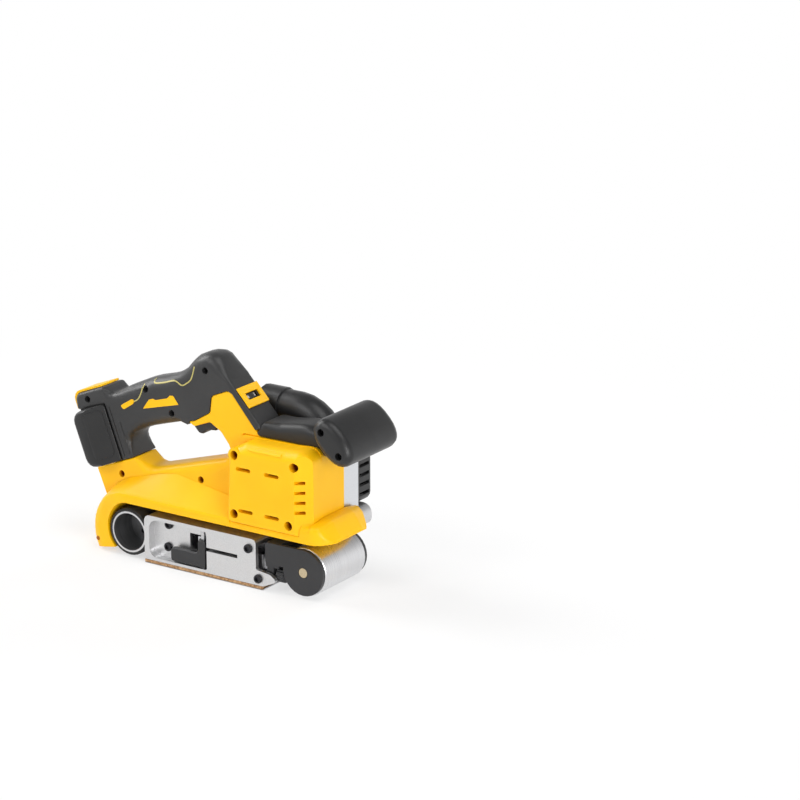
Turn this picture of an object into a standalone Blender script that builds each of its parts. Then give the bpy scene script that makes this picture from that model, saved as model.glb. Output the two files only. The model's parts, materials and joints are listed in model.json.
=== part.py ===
"""Cordless belt sander as a bare tool, without sanding belt, battery pack or dust bag.

Sizes in this script are millimetres and are turned into metres when a mesh is made.
+X is forward, +Y the tool's left, +Z up. The origin lies on the sole, midway between the roller axes.
"""
import math

import bmesh
import bpy
from mathutils import Vector

MM = 0.001

# Air between pieces that touch, and round pieces that move
GAP = 0.3
RUN = 0.6
SPLIT = 0.15

# Rollers
ROLLER_SPACING = 196.0
ROLLER_RADIUS = 22.5
ROLLER_LIFT = 1.9
SOLE_HALF = 37.5
DRIVE_HALF = SOLE_HALF - 3.5
IDLER_HALF = SOLE_HALF - 6.5
LAGGING = 2.5
AXIS_Z = ROLLER_RADIUS + ROLLER_LIFT
REAR = -ROLLER_SPACING / 2
FRONT = ROLLER_SPACING / 2

# Platen and frame
SOLE_BEHIND = ROLLER_RADIUS - 2.0
SOLE_AHEAD = ROLLER_RADIUS + 19.5
SOLE_REAR = REAR + SOLE_BEHIND
SOLE_FRONT = FRONT - SOLE_AHEAD
SHEET = 0.6
CORK = 2.7
FRAME_BASE = SHEET + CORK + 2 * GAP
FRAME_TOP = 46.5
NOTCH_DEPTH = 7.5
NOSE_LENGTH = 16.0
NOTCH_X = SOLE_FRONT - NOTCH_DEPTH
NOSE_X = SOLE_FRONT + NOSE_LENGTH
PLATE_OFF = 8.0
PLATE_Y = DRIVE_HALF + PLATE_OFF
PLATE = 5.0
BEARING_WIDE = 5.0
BEARING_RADIUS = 12.7
POCKET_FLOOR = SOLE_HALF - 8.0

# Yellow motor block, standing on the hood over the belt
HOOD_UNDER = ROLLER_RADIUS + 7.1
HOOD_SKIN = 5.8
BLOCK_RIGHT = -41.0
BLOCK_BASE = AXIS_Z + HOOD_UNDER + HOOD_SKIN + GAP
BLOCK_TOP = BLOCK_BASE + 75.2
PLATE_TOP = BLOCK_BASE + 5.9
BLOCK_REAR = 21.0
BLOCK_FRONT = 107.7
BOSS_RADIUS = 6.5
BOSSES = [
    (BLOCK_REAR + BOSS_RADIUS + 0.7, BLOCK_TOP - BOSS_RADIUS - 5.8),
    (BLOCK_FRONT - BOSS_RADIUS - 8.4, BLOCK_TOP - BOSS_RADIUS - 5.8),
    (BLOCK_REAR + BOSS_RADIUS + 0.1, BLOCK_BASE + BOSS_RADIUS + 1.7),
    (BLOCK_FRONT - BOSS_RADIUS - 14.2, BLOCK_BASE + BOSS_RADIUS + 1.4),
]

# Motor, pulleys and their covers
MOTOR_X = BLOCK_REAR + 36.0
MOTOR_Z = BLOCK_BASE + 31.9
STATOR_RADIUS = 27.0
ROTOR_RADIUS = 15.5
SHAFT_RADIUS = 4.0
DRIVE_SHAFT_RADIUS = 5.0
DRIVEN_TEETH = 18
MOTOR_TEETH = 8
DRIVEN_RADIUS = 16.0
PULLEY_RADIUS = DRIVEN_RADIUS * MOTOR_TEETH / DRIVEN_TEETH
PULLEY_WIDE = 9.0
PULLEY_LOW = PLATE_Y + PLATE + 1.5
PULLEY_HIGH = PULLEY_LOW + PULLEY_WIDE
BELT_THICK = 1.6
CASE_LOW = PLATE_Y - 26.0
CASE_TOP = BLOCK_TOP - 7.3
GUARD_LEFT = PULLEY_HIGH + 3.5
COVER_LEFT = GUARD_LEFT + 5.0
END_REAR = BLOCK_REAR - 7.0
END_FRONT = BLOCK_FRONT - 3.7

# Hood over the belt
HOOD_RIGHT = -39.0
HOOD_LEFT = PLATE_Y - GAP
HOOD_END = 1.8
FOOT_ANGLE = 150.0
FOOT_DEPTH = 33.0
FOOT_FRONT = REAR - 10.0

# Handle: places on it are (along the grip, across the grip) from the middle of the grip
GRIP_X = BLOCK_REAR - 96.4
GRIP_Z = BLOCK_BASE + 88.8
GRIP_TILT = 21.0
HANDLE_HALF = 17.0
NECK_HALF = 16.5
MOUNT_HALF = 29.0
TRIGGER_HALF = 8.5
TRIGGER_TRAVEL = 6.0
BUTTON_RADIUS = 5.0

# Speed dial on the slope in front of the grip
SLOPE_S = 94.9
SLOPE_T = -17.3
SLOPE_ALONG = (0.366, -0.931)
SLOPE_OUT = (0.931, 0.366)
PANEL_HALF = 15.0
PANEL_LONG = 21.0
DIAL_RADIUS = 11.0
DIAL_DEPTH = -9.4

# Front handle and dust port
KNOB_X = BLOCK_FRONT + 18.6
KNOB_Z = BLOCK_TOP + 12.9
KNOB_LONG = 24.0
KNOB_SHORT = 14.5
KNOB_TILT = -45.0
KNOB_RIGHT = -33.0
KNOB_SPLIT = 8.0
KNOB_LEFT = 48.0
PORT_RADIUS = 15.5
PORT_BORE = 13.2
PORT_Y = PLATE_Y - 5.0
PORT_Z = CASE_TOP + 21.5
PORT_REAR = BLOCK_REAR - 13.0
PORT_BEND = BLOCK_REAR + 25.0
PORT_FOOT = CASE_TOP + GAP

# Belt tension and tracking
PIVOT_BEHIND = ROLLER_RADIUS + 11.5
PIVOT_X = FRONT - PIVOT_BEHIND
YOKE_HALF = IDLER_HALF + 3.8
YOKE_BACK = PIVOT_X - 7.0
YOKE_ARM = 3.3
YOKE_DISC = ROLLER_RADIUS - 1.0
AXLE_RADIUS = 4.7
BAR_LOW = 22.5
BAR_HIGH = 45.0
PIN_RADIUS = 2.9
TONGUE_HALF = 8.0
TONGUE_LOW = 27.0
TONGUE_HIGH = 33.0
LEVER_X = -13.0
LEVER_Y = -SOLE_HALF + 4.0
LEVER_PIN = 2.2
SCREW_RADIUS = 2.0
TRACK_Y = -SOLE_HALF + 11.5
TRACK_Z = 14.5
TRACK_RADIUS = 7.0
SPRING_RADIUS = 6.2
SPRING_WIRE = 0.9
SPRING_TURNS = 8
SPRING_Z = 28.0

# Angle of one step in a round corner, and the longest step
FINE = math.radians(22.5)
LONG_FACE = 7.0
COARSE = math.radians(30)


def clear_scene():
    """Empty the file of the objects it starts with."""
    for item in list(bpy.data.objects):
        bpy.data.objects.remove(item, do_unlink=True)


def paint(name, colour, metallic, roughness):
    """Plain surface with one colour."""
    surface = bpy.data.materials.new(name)
    surface.use_nodes = True
    shader = surface.node_tree.nodes["Principled BSDF"]
    shader.inputs["Base Color"].default_value = (*colour, 1.0)
    shader.inputs["Metallic"].default_value = metallic
    shader.inputs["Roughness"].default_value = roughness
    return surface


def solid(name, mesh, surface):
    """Turn a bmesh in millimetres into a named object in metres."""
    bmesh.ops.remove_doubles(mesh, verts=mesh.verts, dist=0.002)
    bmesh.ops.recalc_face_normals(mesh, faces=mesh.faces)
    for vert in mesh.verts:
        vert.co *= MM
    data = bpy.data.meshes.new(name)
    mesh.to_mesh(data)
    mesh.free()
    item = bpy.data.objects.new(name, data)
    bpy.context.scene.collection.objects.link(item)
    data.materials.append(surface)
    return item


def combine(target, operation, tools):
    """Join or cut the target with each tool in turn and keep the plain result."""
    for tool in tools:
        step = target.modifiers.new(operation, "BOOLEAN")
        step.operation = operation
        step.solver = "EXACT"
        step.object = tool
    bpy.context.view_layer.update()
    graph = bpy.context.evaluated_depsgraph_get()
    result = bpy.data.meshes.new_from_object(target.evaluated_get(graph))
    target.modifiers.clear()
    target.data = result
    for tool in tools:
        bpy.data.objects.remove(tool, do_unlink=True)
    mesh = bmesh.new()
    mesh.from_mesh(result)
    bmesh.ops.remove_doubles(mesh, verts=mesh.verts, dist=0.004 * MM)
    bmesh.ops.dissolve_degenerate(mesh, edges=mesh.edges, dist=0.004 * MM)
    mesh.to_mesh(result)
    mesh.free()
    return target


def cut(target, *tools):
    """Take the tools out of the target."""
    return combine(target, "DIFFERENCE", tools)


def join(target, *tools):
    """Add the tools to the target."""
    return combine(target, "UNION", tools)


def outline(corners, step=FINE):
    """Loop of (point, round-over) from corners given as (a, b, fillet, round-over)."""
    loop = []
    area = sum(p[0] * q[1] - q[0] * p[1] for p, q in zip(corners, corners[1:] + corners[:1]))
    for index, (a, b, fillet, over) in enumerate(corners):
        here = Vector((a, b))
        before = Vector(corners[index - 1][:2]) - here
        after = Vector(corners[(index + 1) % len(corners)][:2]) - here
        half = before.angle(after) / 2
        if fillet <= 0 or half > math.radians(89):
            loop.append((here, over))
            continue
        outward = (after.x * before.y - after.y * before.x) * area > 0
        reach = min(fillet / math.tan(half), 0.49 * before.length, 0.49 * after.length)
        fillet = reach * math.tan(half)
        over = min(over, 0.85 * fillet) if outward else over
        start = here + before.normalized() * reach
        end = here + after.normalized() * reach
        middle = here + (before.normalized() + after.normalized()).normalized() * (fillet / math.sin(half))
        first = math.atan2(start.y - middle.y, start.x - middle.x)
        last = math.atan2(end.y - middle.y, end.x - middle.x)
        sweep = (last - first + math.pi) % (2 * math.pi) - math.pi
        count = max(1, round(abs(sweep) / step), round(abs(sweep) * fillet / LONG_FACE))
        for k in range(count + 1):
            turn = first + sweep * k / count
            loop.append((middle + Vector((math.cos(turn), math.sin(turn))) * fillet, over))
    return loop


def inset(loop, amounts):
    """Loop moved inwards, point by point; a negative amount moves it outwards."""
    points = [point for point, over in loop]
    count = len(points)
    area = sum(points[i - 1].x * points[i].y - points[i].x * points[i - 1].y for i in range(count))
    side = 1 if area > 0 else -1
    moved = []
    for i in range(count):
        into = (points[i] - points[i - 1]).normalized()
        away = (points[(i + 1) % count] - points[i]).normalized()
        along = (into + away).normalized()
        normal = Vector((-along.y, along.x)) * side
        stretch = min(1 / max(along.dot(into), 0.4), 1.6)
        moved.append(points[i] + normal * (amounts[i] * stretch))
    return moved


def grown(loop, amount=GAP):
    """Same loop, a little larger all round."""
    return list(zip(inset(loop, [-amount] * len(loop)), [over for point, over in loop]))


def skin(rings, closed=False):
    """Faces between neighbouring rings, with flat ends unless the rings close on themselves."""
    mesh = bmesh.new()
    rows = [[mesh.verts.new(point) for point in ring] for ring in rings]
    pairs = list(zip(rows, rows[1:]))
    if closed:
        pairs.append((rows[-1], rows[0]))
    for low, high in pairs:
        count = len(low)
        for i in range(count):
            j = (i + 1) % count
            mesh.faces.new((low[i], low[j], high[j], high[i]))
    if not closed:
        mesh.faces.new(rows[0])
        mesh.faces.new(rows[-1])
    return mesh


def slab(loop, low, high, round_low=False, round_high=False, levels=3):
    """Side outline in X and Z carried from y low to y high, with rounded ends where asked."""
    overs = [over for point, over in loop]
    rings = []
    steps = [math.pi / 2 * k / levels for k in range(levels + 1)]
    for turn in steps if round_low else [math.pi / 2]:
        amounts = [over * (1 - math.sin(turn)) for over in overs]
        depth = [over * (1 - math.cos(turn)) if round_low else 0 for over in overs]
        rings.append([Vector((p.x, low + d, p.y)) for p, d in zip(inset(loop, amounts), depth)])
    for turn in reversed(steps) if round_high else [math.pi / 2]:
        amounts = [over * (1 - math.sin(turn)) for over in overs]
        depth = [over * (1 - math.cos(turn)) if round_high else 0 for over in overs]
        rings.append([Vector((p.x, high - d, p.y)) for p, d in zip(inset(loop, amounts), depth)])
    return skin(rings)


def cross_axes(axis):
    """Two directions across an axis."""
    side = Vector((0, 0, 1)) if abs(axis.z) < 0.9 else Vector((1, 0, 0))
    first = axis.cross(side).normalized()
    return first, axis.cross(first).normalized()


def turned(profile, centre, axis, sides):
    """Solid of revolution from (along, radius) points; a ring where no radius is zero."""
    axis = Vector(axis).normalized()
    first, second = cross_axes(axis)
    mesh = bmesh.new()
    rows = []
    for along, radius in profile:
        middle = Vector(centre) + axis * along
        if radius <= 0:
            rows.append([mesh.verts.new(middle)] * sides)
            continue
        turns = [2 * math.pi * k / sides for k in range(sides)]
        around = [first * math.cos(turn) + second * math.sin(turn) for turn in turns]
        rows.append([mesh.verts.new(middle + way * radius) for way in around])
    pairs = list(zip(rows, rows[1:]))
    if profile[0][1] > 0:
        pairs.append((rows[-1], rows[0]))
    for low, high in pairs:
        for i in range(sides):
            j = (i + 1) % sides
            corners = []
            for vert in (low[i], low[j], high[j], high[i]):
                if vert not in corners:
                    corners.append(vert)
            if len(corners) > 2:
                mesh.faces.new(corners)
    return mesh


def rod(start, end, radius, sides=16):
    """Round bar between two points."""
    reach = Vector(end) - Vector(start)
    return turned([(0, 0), (0, radius), (reach.length, radius), (reach.length, 0)], start, reach, sides)


def sleeve(low, high, inner, outer, x, z, sides=16):
    """Ring round a line parallel to Y."""
    return turned([(low, inner), (low, outer), (high, outer), (high, inner)], (x, 0, z), (0, 1, 0), sides)


def box(x0, x1, y0, y1, z0, z1):
    """Square block."""
    loop = [(Vector(point), 0) for point in ((x0, z0), (x1, z0), (x1, z1), (x0, z1))]
    return slab(loop, y0, y1)


def circle(x, z, radius, sides=32, over=0):
    """Round loop."""
    turns = [2 * math.pi * k / sides for k in range(sides)]
    return [(Vector((x + radius * math.cos(t), z + radius * math.sin(t))), over) for t in turns]


def toothed(x, z, root, tip, teeth):
    """Loop with square teeth."""
    loop = []
    for k in range(teeth):
        for part, radius in ((0.0, root), (0.35, root), (0.5, tip), (0.85, tip)):
            turn = 2 * math.pi * (k + part) / teeth
            loop.append((Vector((x + radius * math.cos(turn), z + radius * math.sin(turn))), 0))
    return loop


def holed(loop, x, z, bore, low, high):
    """Loop carried along Y with a round bore, one bore point for each loop point."""
    middle = Vector((x, z))
    rim = [point for point, over in loop]
    hole = [middle + (point - middle).normalized() * bore for point in rim]
    rings = []
    for ring, depth in ((rim, low), (rim, high), (hole, high), (hole, low)):
        rings.append([Vector((p.x, depth, p.y)) for p in ring])
    return skin(rings, closed=True)


def grip(s, t):
    """X and Z of a place on the handle."""
    c = math.cos(math.radians(GRIP_TILT))
    n = math.sin(math.radians(GRIP_TILT))
    return (GRIP_X + s * c - t * n, GRIP_Z + s * n + t * c)


def on_grip(corners):
    """Outline corners given on the handle, as corners in X and Z."""
    return [(*grip(s, t), fillet, over) for s, t, fillet, over in corners]


def slope(along, out):
    """X and Z of a place on the dial slope, along it and outwards from it."""
    s = SLOPE_S + along * SLOPE_ALONG[0] + out * SLOPE_OUT[0]
    t = SLOPE_T + along * SLOPE_ALONG[1] + out * SLOPE_OUT[1]
    return grip(s, t)


def hull(first, second, grow, sides=14):
    """Loop round two circles given as (x, z, radius), like a belt."""
    ax, az, ar = first
    bx, bz, br = second
    run = math.hypot(bx - ax, bz - az)
    lean = math.atan2(bz - az, bx - ax)
    open_angle = math.acos((ar - br) / run)
    loop = []
    for k in range(sides + 1):
        turn = lean + open_angle + (2 * math.pi - 2 * open_angle) * k / sides
        loop.append((Vector((ax + (ar + grow) * math.cos(turn), az + (ar + grow) * math.sin(turn))), 0))
    for k in range(sides + 1):
        turn = lean - open_angle + 2 * open_angle * k / sides
        loop.append((Vector((bx + (br + grow) * math.cos(turn), bz + (br + grow) * math.sin(turn))), 0))
    return loop


def sweep(path, radius, sides):
    """Round bar along a list of points."""
    rings = []
    first, second = cross_axes((path[1] - path[0]).normalized())
    for k, point in enumerate(path):
        ahead = (path[min(k + 1, len(path) - 1)] - path[max(k - 1, 0)]).normalized()
        first = (first - ahead * first.dot(ahead)).normalized()
        second = ahead.cross(first)
        turns = [2 * math.pi * i / sides for i in range(sides)]
        size = radius[k] if isinstance(radius, list) else radius
        rings.append([point + (first * math.cos(t) + second * math.sin(t)) * size for t in turns])
    return rings


def tool(mesh):
    """Temporary solid used to join or cut."""
    return solid("tool", mesh, PLAIN)


clear_scene()
PLAIN = paint("plain", (0.5, 0.5, 0.5), 0.0, 0.5)
YELLOW = paint("yellow_plastic", (1.0, 0.56, 0.01), 0.0, 0.45)
BLACK = paint("black_plastic", (0.02, 0.02, 0.022), 0.0, 0.55)
GREY = paint("dark_grey_plastic", (0.06, 0.06, 0.065), 0.0, 0.55)
ALLOY = paint("cast_aluminium", (0.62, 0.63, 0.64), 1.0, 0.42)
STEEL = paint("bright_steel", (0.6, 0.6, 0.62), 1.0, 0.25)
DARK_STEEL = paint("black_steel", (0.04, 0.04, 0.045), 1.0, 0.4)
RUBBER = paint("black_rubber", (0.015, 0.015, 0.015), 0.0, 0.8)
CORK_SURFACE = paint("cork", (0.36, 0.2, 0.09), 0.0, 0.85)
BRASS = paint("brass", (0.72, 0.5, 0.2), 1.0, 0.3)

# Base frame: right cheek with lever pocket, deck, floor, left plate and bearing boss
CHEEK = [
    (SOLE_REAR, FRAME_BASE, 1.5, 0),
    (SOLE_FRONT, FRAME_BASE, 3, 0),
    (NOSE_X, 11, 3, 0),
    (NOSE_X - 8, 16.5, 4, 0),
    (NOTCH_X, 18.5, 2, 0),
    (NOTCH_X, FRAME_TOP, 4, 0),
    (SOLE_REAR, FRAME_TOP, 6, 0),
]
LUG_FRONT = BLOCK_FRONT + 3.3
LUG_REAR = LUG_FRONT - 39.0
SIDE_PLATE = [
    (REAR - 28, 7, 14, 0),
    (REAR - 28, 56, 22, 0),
    (REAR + 38, PLATE_TOP, 20, 0),
    (LUG_FRONT, PLATE_TOP, 9, 2),
    (LUG_FRONT, 47, 6, 2),
    (NOTCH_X + 13.5, 47, 6, 0),
    (NOTCH_X - 2.5, 6, 8, 0),
]
LUG = [(LUG_REAR, 47, 3, 2), (LUG_FRONT, 47, 6, 2), (LUG_FRONT, PLATE_TOP, 9, 2), (LUG_REAR, PLATE_TOP, 3, 2)]
POCKET_REAR = SOLE_REAR + 5.5
POCKET_FRONT = LEVER_X + 6.5
POCKET = [
    (POCKET_REAR, 6.5, 9, 0),
    (POCKET_FRONT, 6.5, 2, 0),
    (POCKET_FRONT, 43, 2, 0),
    (POCKET_REAR, 43, 9, 0),
]
FRAME_SCREWS = [
    (SOLE_REAR + 22.9, -POCKET_FLOOR, 38.9),
    (SOLE_REAR + 21.7, -POCKET_FLOOR, 17.2),
    (NOTCH_X - 8, -SOLE_HALF, 37.0),
    (SOLE_FRONT - 4.8, -SOLE_HALF, 10.4),
]
REAR_WALL = 6.5
DECK = 6.5
base_frame = solid("base_frame", slab(outline(CHEEK), -SOLE_HALF, PLATE_Y + 1), ALLOY)
join(
    base_frame,
    tool(slab(outline(SIDE_PLATE), PLATE_Y, PLATE_Y + PLATE)),
    tool(slab(outline(LUG), PLATE_Y + 1, PULLEY_HIGH - 1, False, True)),
    tool(rod((REAR, DRIVE_HALF + 1, AXIS_Z), (REAR, PLATE_Y + 2, AXIS_Z), 17, 20)),
)
cut(
    base_frame,
    tool(box(SOLE_REAR + REAR_WALL, NOTCH_X - 8.5, -25.5, PLATE_Y - 6, 9, FRAME_TOP - DECK)),
    tool(box(NOTCH_X - 10.5, NOSE_X + 20, -SOLE_HALF + 4, PLATE_Y - 6, 7, FRAME_TOP - DECK)),
    tool(slab(outline(POCKET), -SOLE_HALF - 2, -POCKET_FLOOR)),
    tool(box(LEVER_X - 18, LEVER_X + 4, -POCKET_FLOOR - 1, -24, SPRING_Z - 7.5, SPRING_Z + 7.5)),
    tool(box(LEVER_X + 5.5, LEVER_X + 41, -SOLE_HALF - 1, -24, 25, 28.4)),
    tool(rod((REAR, -DRIVE_HALF - 0.8, AXIS_Z), (REAR, DRIVE_HALF + 0.8, AXIS_Z), ROLLER_RADIUS + 1, 32)),
    tool(rod((REAR, DRIVE_HALF, AXIS_Z), (REAR, PLATE_Y + PLATE + 1, AXIS_Z), BEARING_RADIUS + GAP, 16)),
    tool(rod((LEVER_X, LEVER_Y, FRAME_BASE + 0.4), (LEVER_X, LEVER_Y, FRAME_TOP - 1.6), LEVER_PIN + GAP, 12)),
    *[tool(rod((x, y - 1, z), (x, y + 3.6, z), 2.0, 10)) for x, y, z in FRAME_SCREWS],
)

# Frame screws: low round heads on the right face and on the pocket floor
for number, (x, y, z) in enumerate(FRAME_SCREWS, start=1):
    profile = [(-2.6, 0), (-2.6, 3.0), (-1.4, 4.2), (-GAP, 4.2), (-GAP, 1.7), (3.2, 1.7), (3.2, 0)]
    solid(f"frame_screw_{number}", turned(profile, (x, y, z), (0, 1, 0), 10), DARK_STEEL)

# Platen: wear sheet with a turned-up front, on a cork pad
SHEET_SIDE = [
    (SOLE_REAR, 0, 0, 0),
    (SOLE_FRONT + 0.3, 0, 3, 0),
    (SOLE_FRONT + 3.8, 3.2, 0, 0),
    (SOLE_FRONT + 3.4, 3.7, 0, 0),
    (SOLE_FRONT, SHEET, 3, 0),
    (SOLE_REAR, SHEET, 0, 0),
]
solid("platen_sheet", slab(outline(SHEET_SIDE), -SOLE_HALF, SOLE_HALF), STEEL)
cork_box = box(SOLE_REAR, SOLE_FRONT - GAP, -SOLE_HALF, SOLE_HALF, SHEET + GAP, SHEET + GAP + CORK)
solid("cork_pad", cork_box, CORK_SURFACE)

# Drive roller: hollow at its right end, rubber lagging, shaft in two bearings
CORE = ROLLER_RADIUS - LAGGING - GAP
ROLLER_PROFILE = [
    (-8, 0),
    (-8, CORE - 1.9),
    (-DRIVE_HALF, CORE - 1.9),
    (-DRIVE_HALF, CORE),
    (DRIVE_HALF, CORE),
    (DRIVE_HALF, DRIVE_SHAFT_RADIUS + GAP),
    (-4, DRIVE_SHAFT_RADIUS + GAP),
    (-4, 0),
]
LAGGING_PROFILE = [
    (-DRIVE_HALF, CORE + GAP),
    (-DRIVE_HALF, ROLLER_RADIUS - 1),
    (-DRIVE_HALF + 1, ROLLER_RADIUS),
    (DRIVE_HALF - 1, ROLLER_RADIUS),
    (DRIVE_HALF, ROLLER_RADIUS - 1),
    (DRIVE_HALF, CORE + GAP),
]
rear_axis = (REAR, 0, AXIS_Z)
drive_roller = solid("drive_roller", turned(ROLLER_PROFILE, rear_axis, (0, 1, 0), 28), STEEL)
hub_holes = [(REAR + 9 * math.cos(k * 2.0944), AXIS_Z + 9 * math.sin(k * 2.0944)) for k in range(3)]
cut(drive_roller, *[tool(rod((x, -10, z), (x, -4.5, z), 2.2, 10)) for x, z in hub_holes])
solid("roller_lagging", turned(LAGGING_PROFILE, rear_axis, (0, 1, 0), 32), RUBBER)
shaft_ends = [(REAR, y, AXIS_Z) for y in (-4 + GAP, PULLEY_HIGH + 0.5)]
solid("drive_shaft", rod(*shaft_ends, DRIVE_SHAFT_RADIUS), STEEL)
BEARING_BORE = DRIVE_SHAFT_RADIUS + GAP
for place, low in (("inner", DRIVE_HALF + 1.3), ("outer", PLATE_Y + PLATE - GAP - BEARING_WIDE)):
    bearing = sleeve(low, low + BEARING_WIDE, BEARING_BORE, BEARING_RADIUS, REAR, AXIS_Z)
    solid(f"roller_bearing_{place}", bearing, STEEL)

# Toothed belt drive on the left
driven = toothed(REAR, AXIS_Z, DRIVEN_RADIUS - 1.2, DRIVEN_RADIUS, DRIVEN_TEETH)
solid("driven_pulley", holed(driven, REAR, AXIS_Z, BEARING_BORE, PULLEY_LOW, PULLEY_HIGH), ALLOY)
driving = toothed(MOTOR_X, MOTOR_Z, PULLEY_RADIUS - 1.0, PULLEY_RADIUS, MOTOR_TEETH)
solid("motor_pulley", holed(driving, MOTOR_X, MOTOR_Z, SHAFT_RADIUS + GAP, PULLEY_LOW, PULLEY_HIGH), STEEL)
wheels = ((REAR, AXIS_Z, DRIVEN_RADIUS), (MOTOR_X, MOTOR_Z, PULLEY_RADIUS))
belt_rings = []
for grow, depth in ((0.5, PULLEY_LOW + 0.5), (0.5, PULLEY_HIGH - 0.5)):
    belt_rings.append([Vector((p.x, depth, p.y)) for p, over in hull(*wheels, grow, 14)])
for grow, depth in ((0.5 + BELT_THICK, PULLEY_HIGH - 0.5), (0.5 + BELT_THICK, PULLEY_LOW + 0.5)):
    belt_rings.append([Vector((p.x, depth, p.y)) for p, over in hull(*wheels, grow, 14)])
solid("drive_belt", skin(belt_rings, closed=True), RUBBER)

# Motor across the tool
MOTOR_RIGHT = BLOCK_RIGHT + 2.8
RIGHT_BEARING = 3.9
LEFT_BEARING = 6.0
left_seat = PLATE_Y - 1.7 - LEFT_BEARING
motor_ends = [(MOTOR_X, y, MOTOR_Z) for y in (MOTOR_RIGHT - 0.2, PULLEY_HIGH + 0.5)]
solid("motor_shaft", rod(*motor_ends, SHAFT_RADIUS, 14), STEEL)
MOTOR_BORE = SHAFT_RADIUS + GAP
STATOR_LOW = -24.0
STATOR_HIGH = CASE_LOW - 7.0
FAN_RADIUS = 28.0
FAN_LOW = CASE_LOW + 2.0
rotor_mesh = sleeve(STATOR_LOW + 1, STATOR_HIGH - 1, MOTOR_BORE, ROTOR_RADIUS, MOTOR_X, MOTOR_Z, 20)
solid("rotor", rotor_mesh, DARK_STEEL)
stator_mesh = sleeve(STATOR_LOW, STATOR_HIGH, ROTOR_RADIUS + RUN, STATOR_RADIUS, MOTOR_X, MOTOR_Z, 24)
solid("stator", stator_mesh, STEEL)
right_bearing = sleeve(MOTOR_RIGHT, MOTOR_RIGHT + RIGHT_BEARING, MOTOR_BORE, 8.7, MOTOR_X, MOTOR_Z, 16)
solid("motor_bearing_right", right_bearing, STEEL)
left_bearing = sleeve(left_seat, left_seat + LEFT_BEARING, MOTOR_BORE, 11, MOTOR_X, MOTOR_Z, 16)
solid("motor_bearing_left", left_bearing, STEEL)
blades = toothed(MOTOR_X, MOTOR_Z, 9, FAN_RADIUS - 1, 7)
motor_fan = solid("motor_fan", holed(blades, MOTOR_X, MOTOR_Z, MOTOR_BORE, FAN_LOW, FAN_LOW + 10), GREY)
join(motor_fan, tool(sleeve(FAN_LOW + 9, FAN_LOW + 11.5, MOTOR_BORE, FAN_RADIUS, MOTOR_X, MOTOR_Z, 28)))

# Aluminium gear case between the motor housing and the drive cover
CASE = [
    (BLOCK_REAR + 2, BLOCK_BASE, 5, 2),
    (BLOCK_FRONT - 2, BLOCK_BASE, 5, 2),
    (BLOCK_FRONT - 2, CASE_TOP - 10, 9, 2),
    (BLOCK_FRONT - 15.7, CASE_TOP, 9, 2),
    (BLOCK_REAR + 2, CASE_TOP, 9, 2),
]
gear_case = solid("gear_case", slab(outline(CASE), CASE_LOW + GAP, PLATE_Y - GAP), ALLOY)
cut(
    gear_case,
    tool(rod((MOTOR_X, CASE_LOW - 1, MOTOR_Z), (MOTOR_X, left_seat - 1.3, MOTOR_Z), FAN_RADIUS + 1.5, 28)),
    tool(rod((MOTOR_X, left_seat - 2.3, MOTOR_Z), (MOTOR_X, PLATE_Y + 1, MOTOR_Z), 11 + GAP, 20)),
)

# Yellow motor housing: block between neck and gear case, and a softer face with screw bosses and vents
BLOCK = [
    (BLOCK_REAR, BLOCK_BASE, 3, 0),
    (BLOCK_FRONT, BLOCK_BASE, 6, 0),
    (BLOCK_FRONT, BLOCK_TOP + 2.7, 10, 0),
    (BLOCK_FRONT - 25.7, BLOCK_TOP + 0.7, 30, 0),
    (BLOCK_REAR, BLOCK_TOP, 3, 0),
]
FACE = [
    (BLOCK_REAR, BLOCK_BASE, 3, 1.5),
    (BLOCK_FRONT, BLOCK_BASE, 6, 1.5),
    (BLOCK_FRONT, BLOCK_TOP + 2.4, 12, 11.5),
    (BLOCK_FRONT - 25.7, BLOCK_TOP + 0.4, 30, 11),
    (BLOCK_REAR + 14.5, BLOCK_TOP - 0.3, 14, 11),
    (BLOCK_REAR, BLOCK_TOP - 11.5, 10, 6),
]
block_loop = outline(BLOCK)
face_back = -NECK_HALF - 0.6
motor_housing = solid("motor_housing", slab(block_loop, face_back - 1, CASE_LOW), YELLOW)
join(motor_housing, tool(slab(outline(FACE), BLOCK_RIGHT, face_back, True, False)))
boss_depth = BLOCK_RIGHT + 21
boss_face = BLOCK_RIGHT + 0.7
join(motor_housing, *[tool(rod((x, boss_face, z), (x, boss_depth, z), BOSS_RADIUS, 20)) for x, z in BOSSES])
BEVEL = [
    (BLOCK_FRONT - 19.5, BLOCK_RIGHT - 4),
    (BLOCK_FRONT + 4.3, BLOCK_RIGHT - 4),
    (BLOCK_FRONT + 4.3, BLOCK_RIGHT + 13),
]
bevel_rings = [[Vector((x, y, z)) for x, y in BEVEL] for z in (BLOCK_BASE - 10, BLOCK_TOP + 15)]
vent_low = BLOCK_BASE + 12.2
vent_high = BLOCK_TOP - 24.1
VENTS = [
    (BLOCK_REAR + 17.4, vent_high),
    (BLOCK_REAR + 48.2, vent_high),
    (BLOCK_REAR + 19.4, vent_low),
    (BLOCK_REAR + 48.0, vent_low),
]
SLOTS = [MOTOR_Z + 17 - 9.2 * k for k in range(4)]
cut(
    motor_housing,
    tool(skin(bevel_rings)),
    tool(rod((MOTOR_X, STATOR_LOW - GAP, MOTOR_Z), (MOTOR_X, CASE_LOW + 1, MOTOR_Z), STATOR_RADIUS + GAP, 28)),
    tool(rod((MOTOR_X, MOTOR_RIGHT + 4.2, MOTOR_Z), (MOTOR_X, STATOR_LOW + 1, MOTOR_Z), STATOR_RADIUS + 2, 28)),
    tool(rod((MOTOR_X, MOTOR_RIGHT - 0.5, MOTOR_Z), (MOTOR_X, MOTOR_RIGHT + 5.2, MOTOR_Z), 9, 16)),
)
screw_floor = BLOCK_RIGHT + 17
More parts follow.
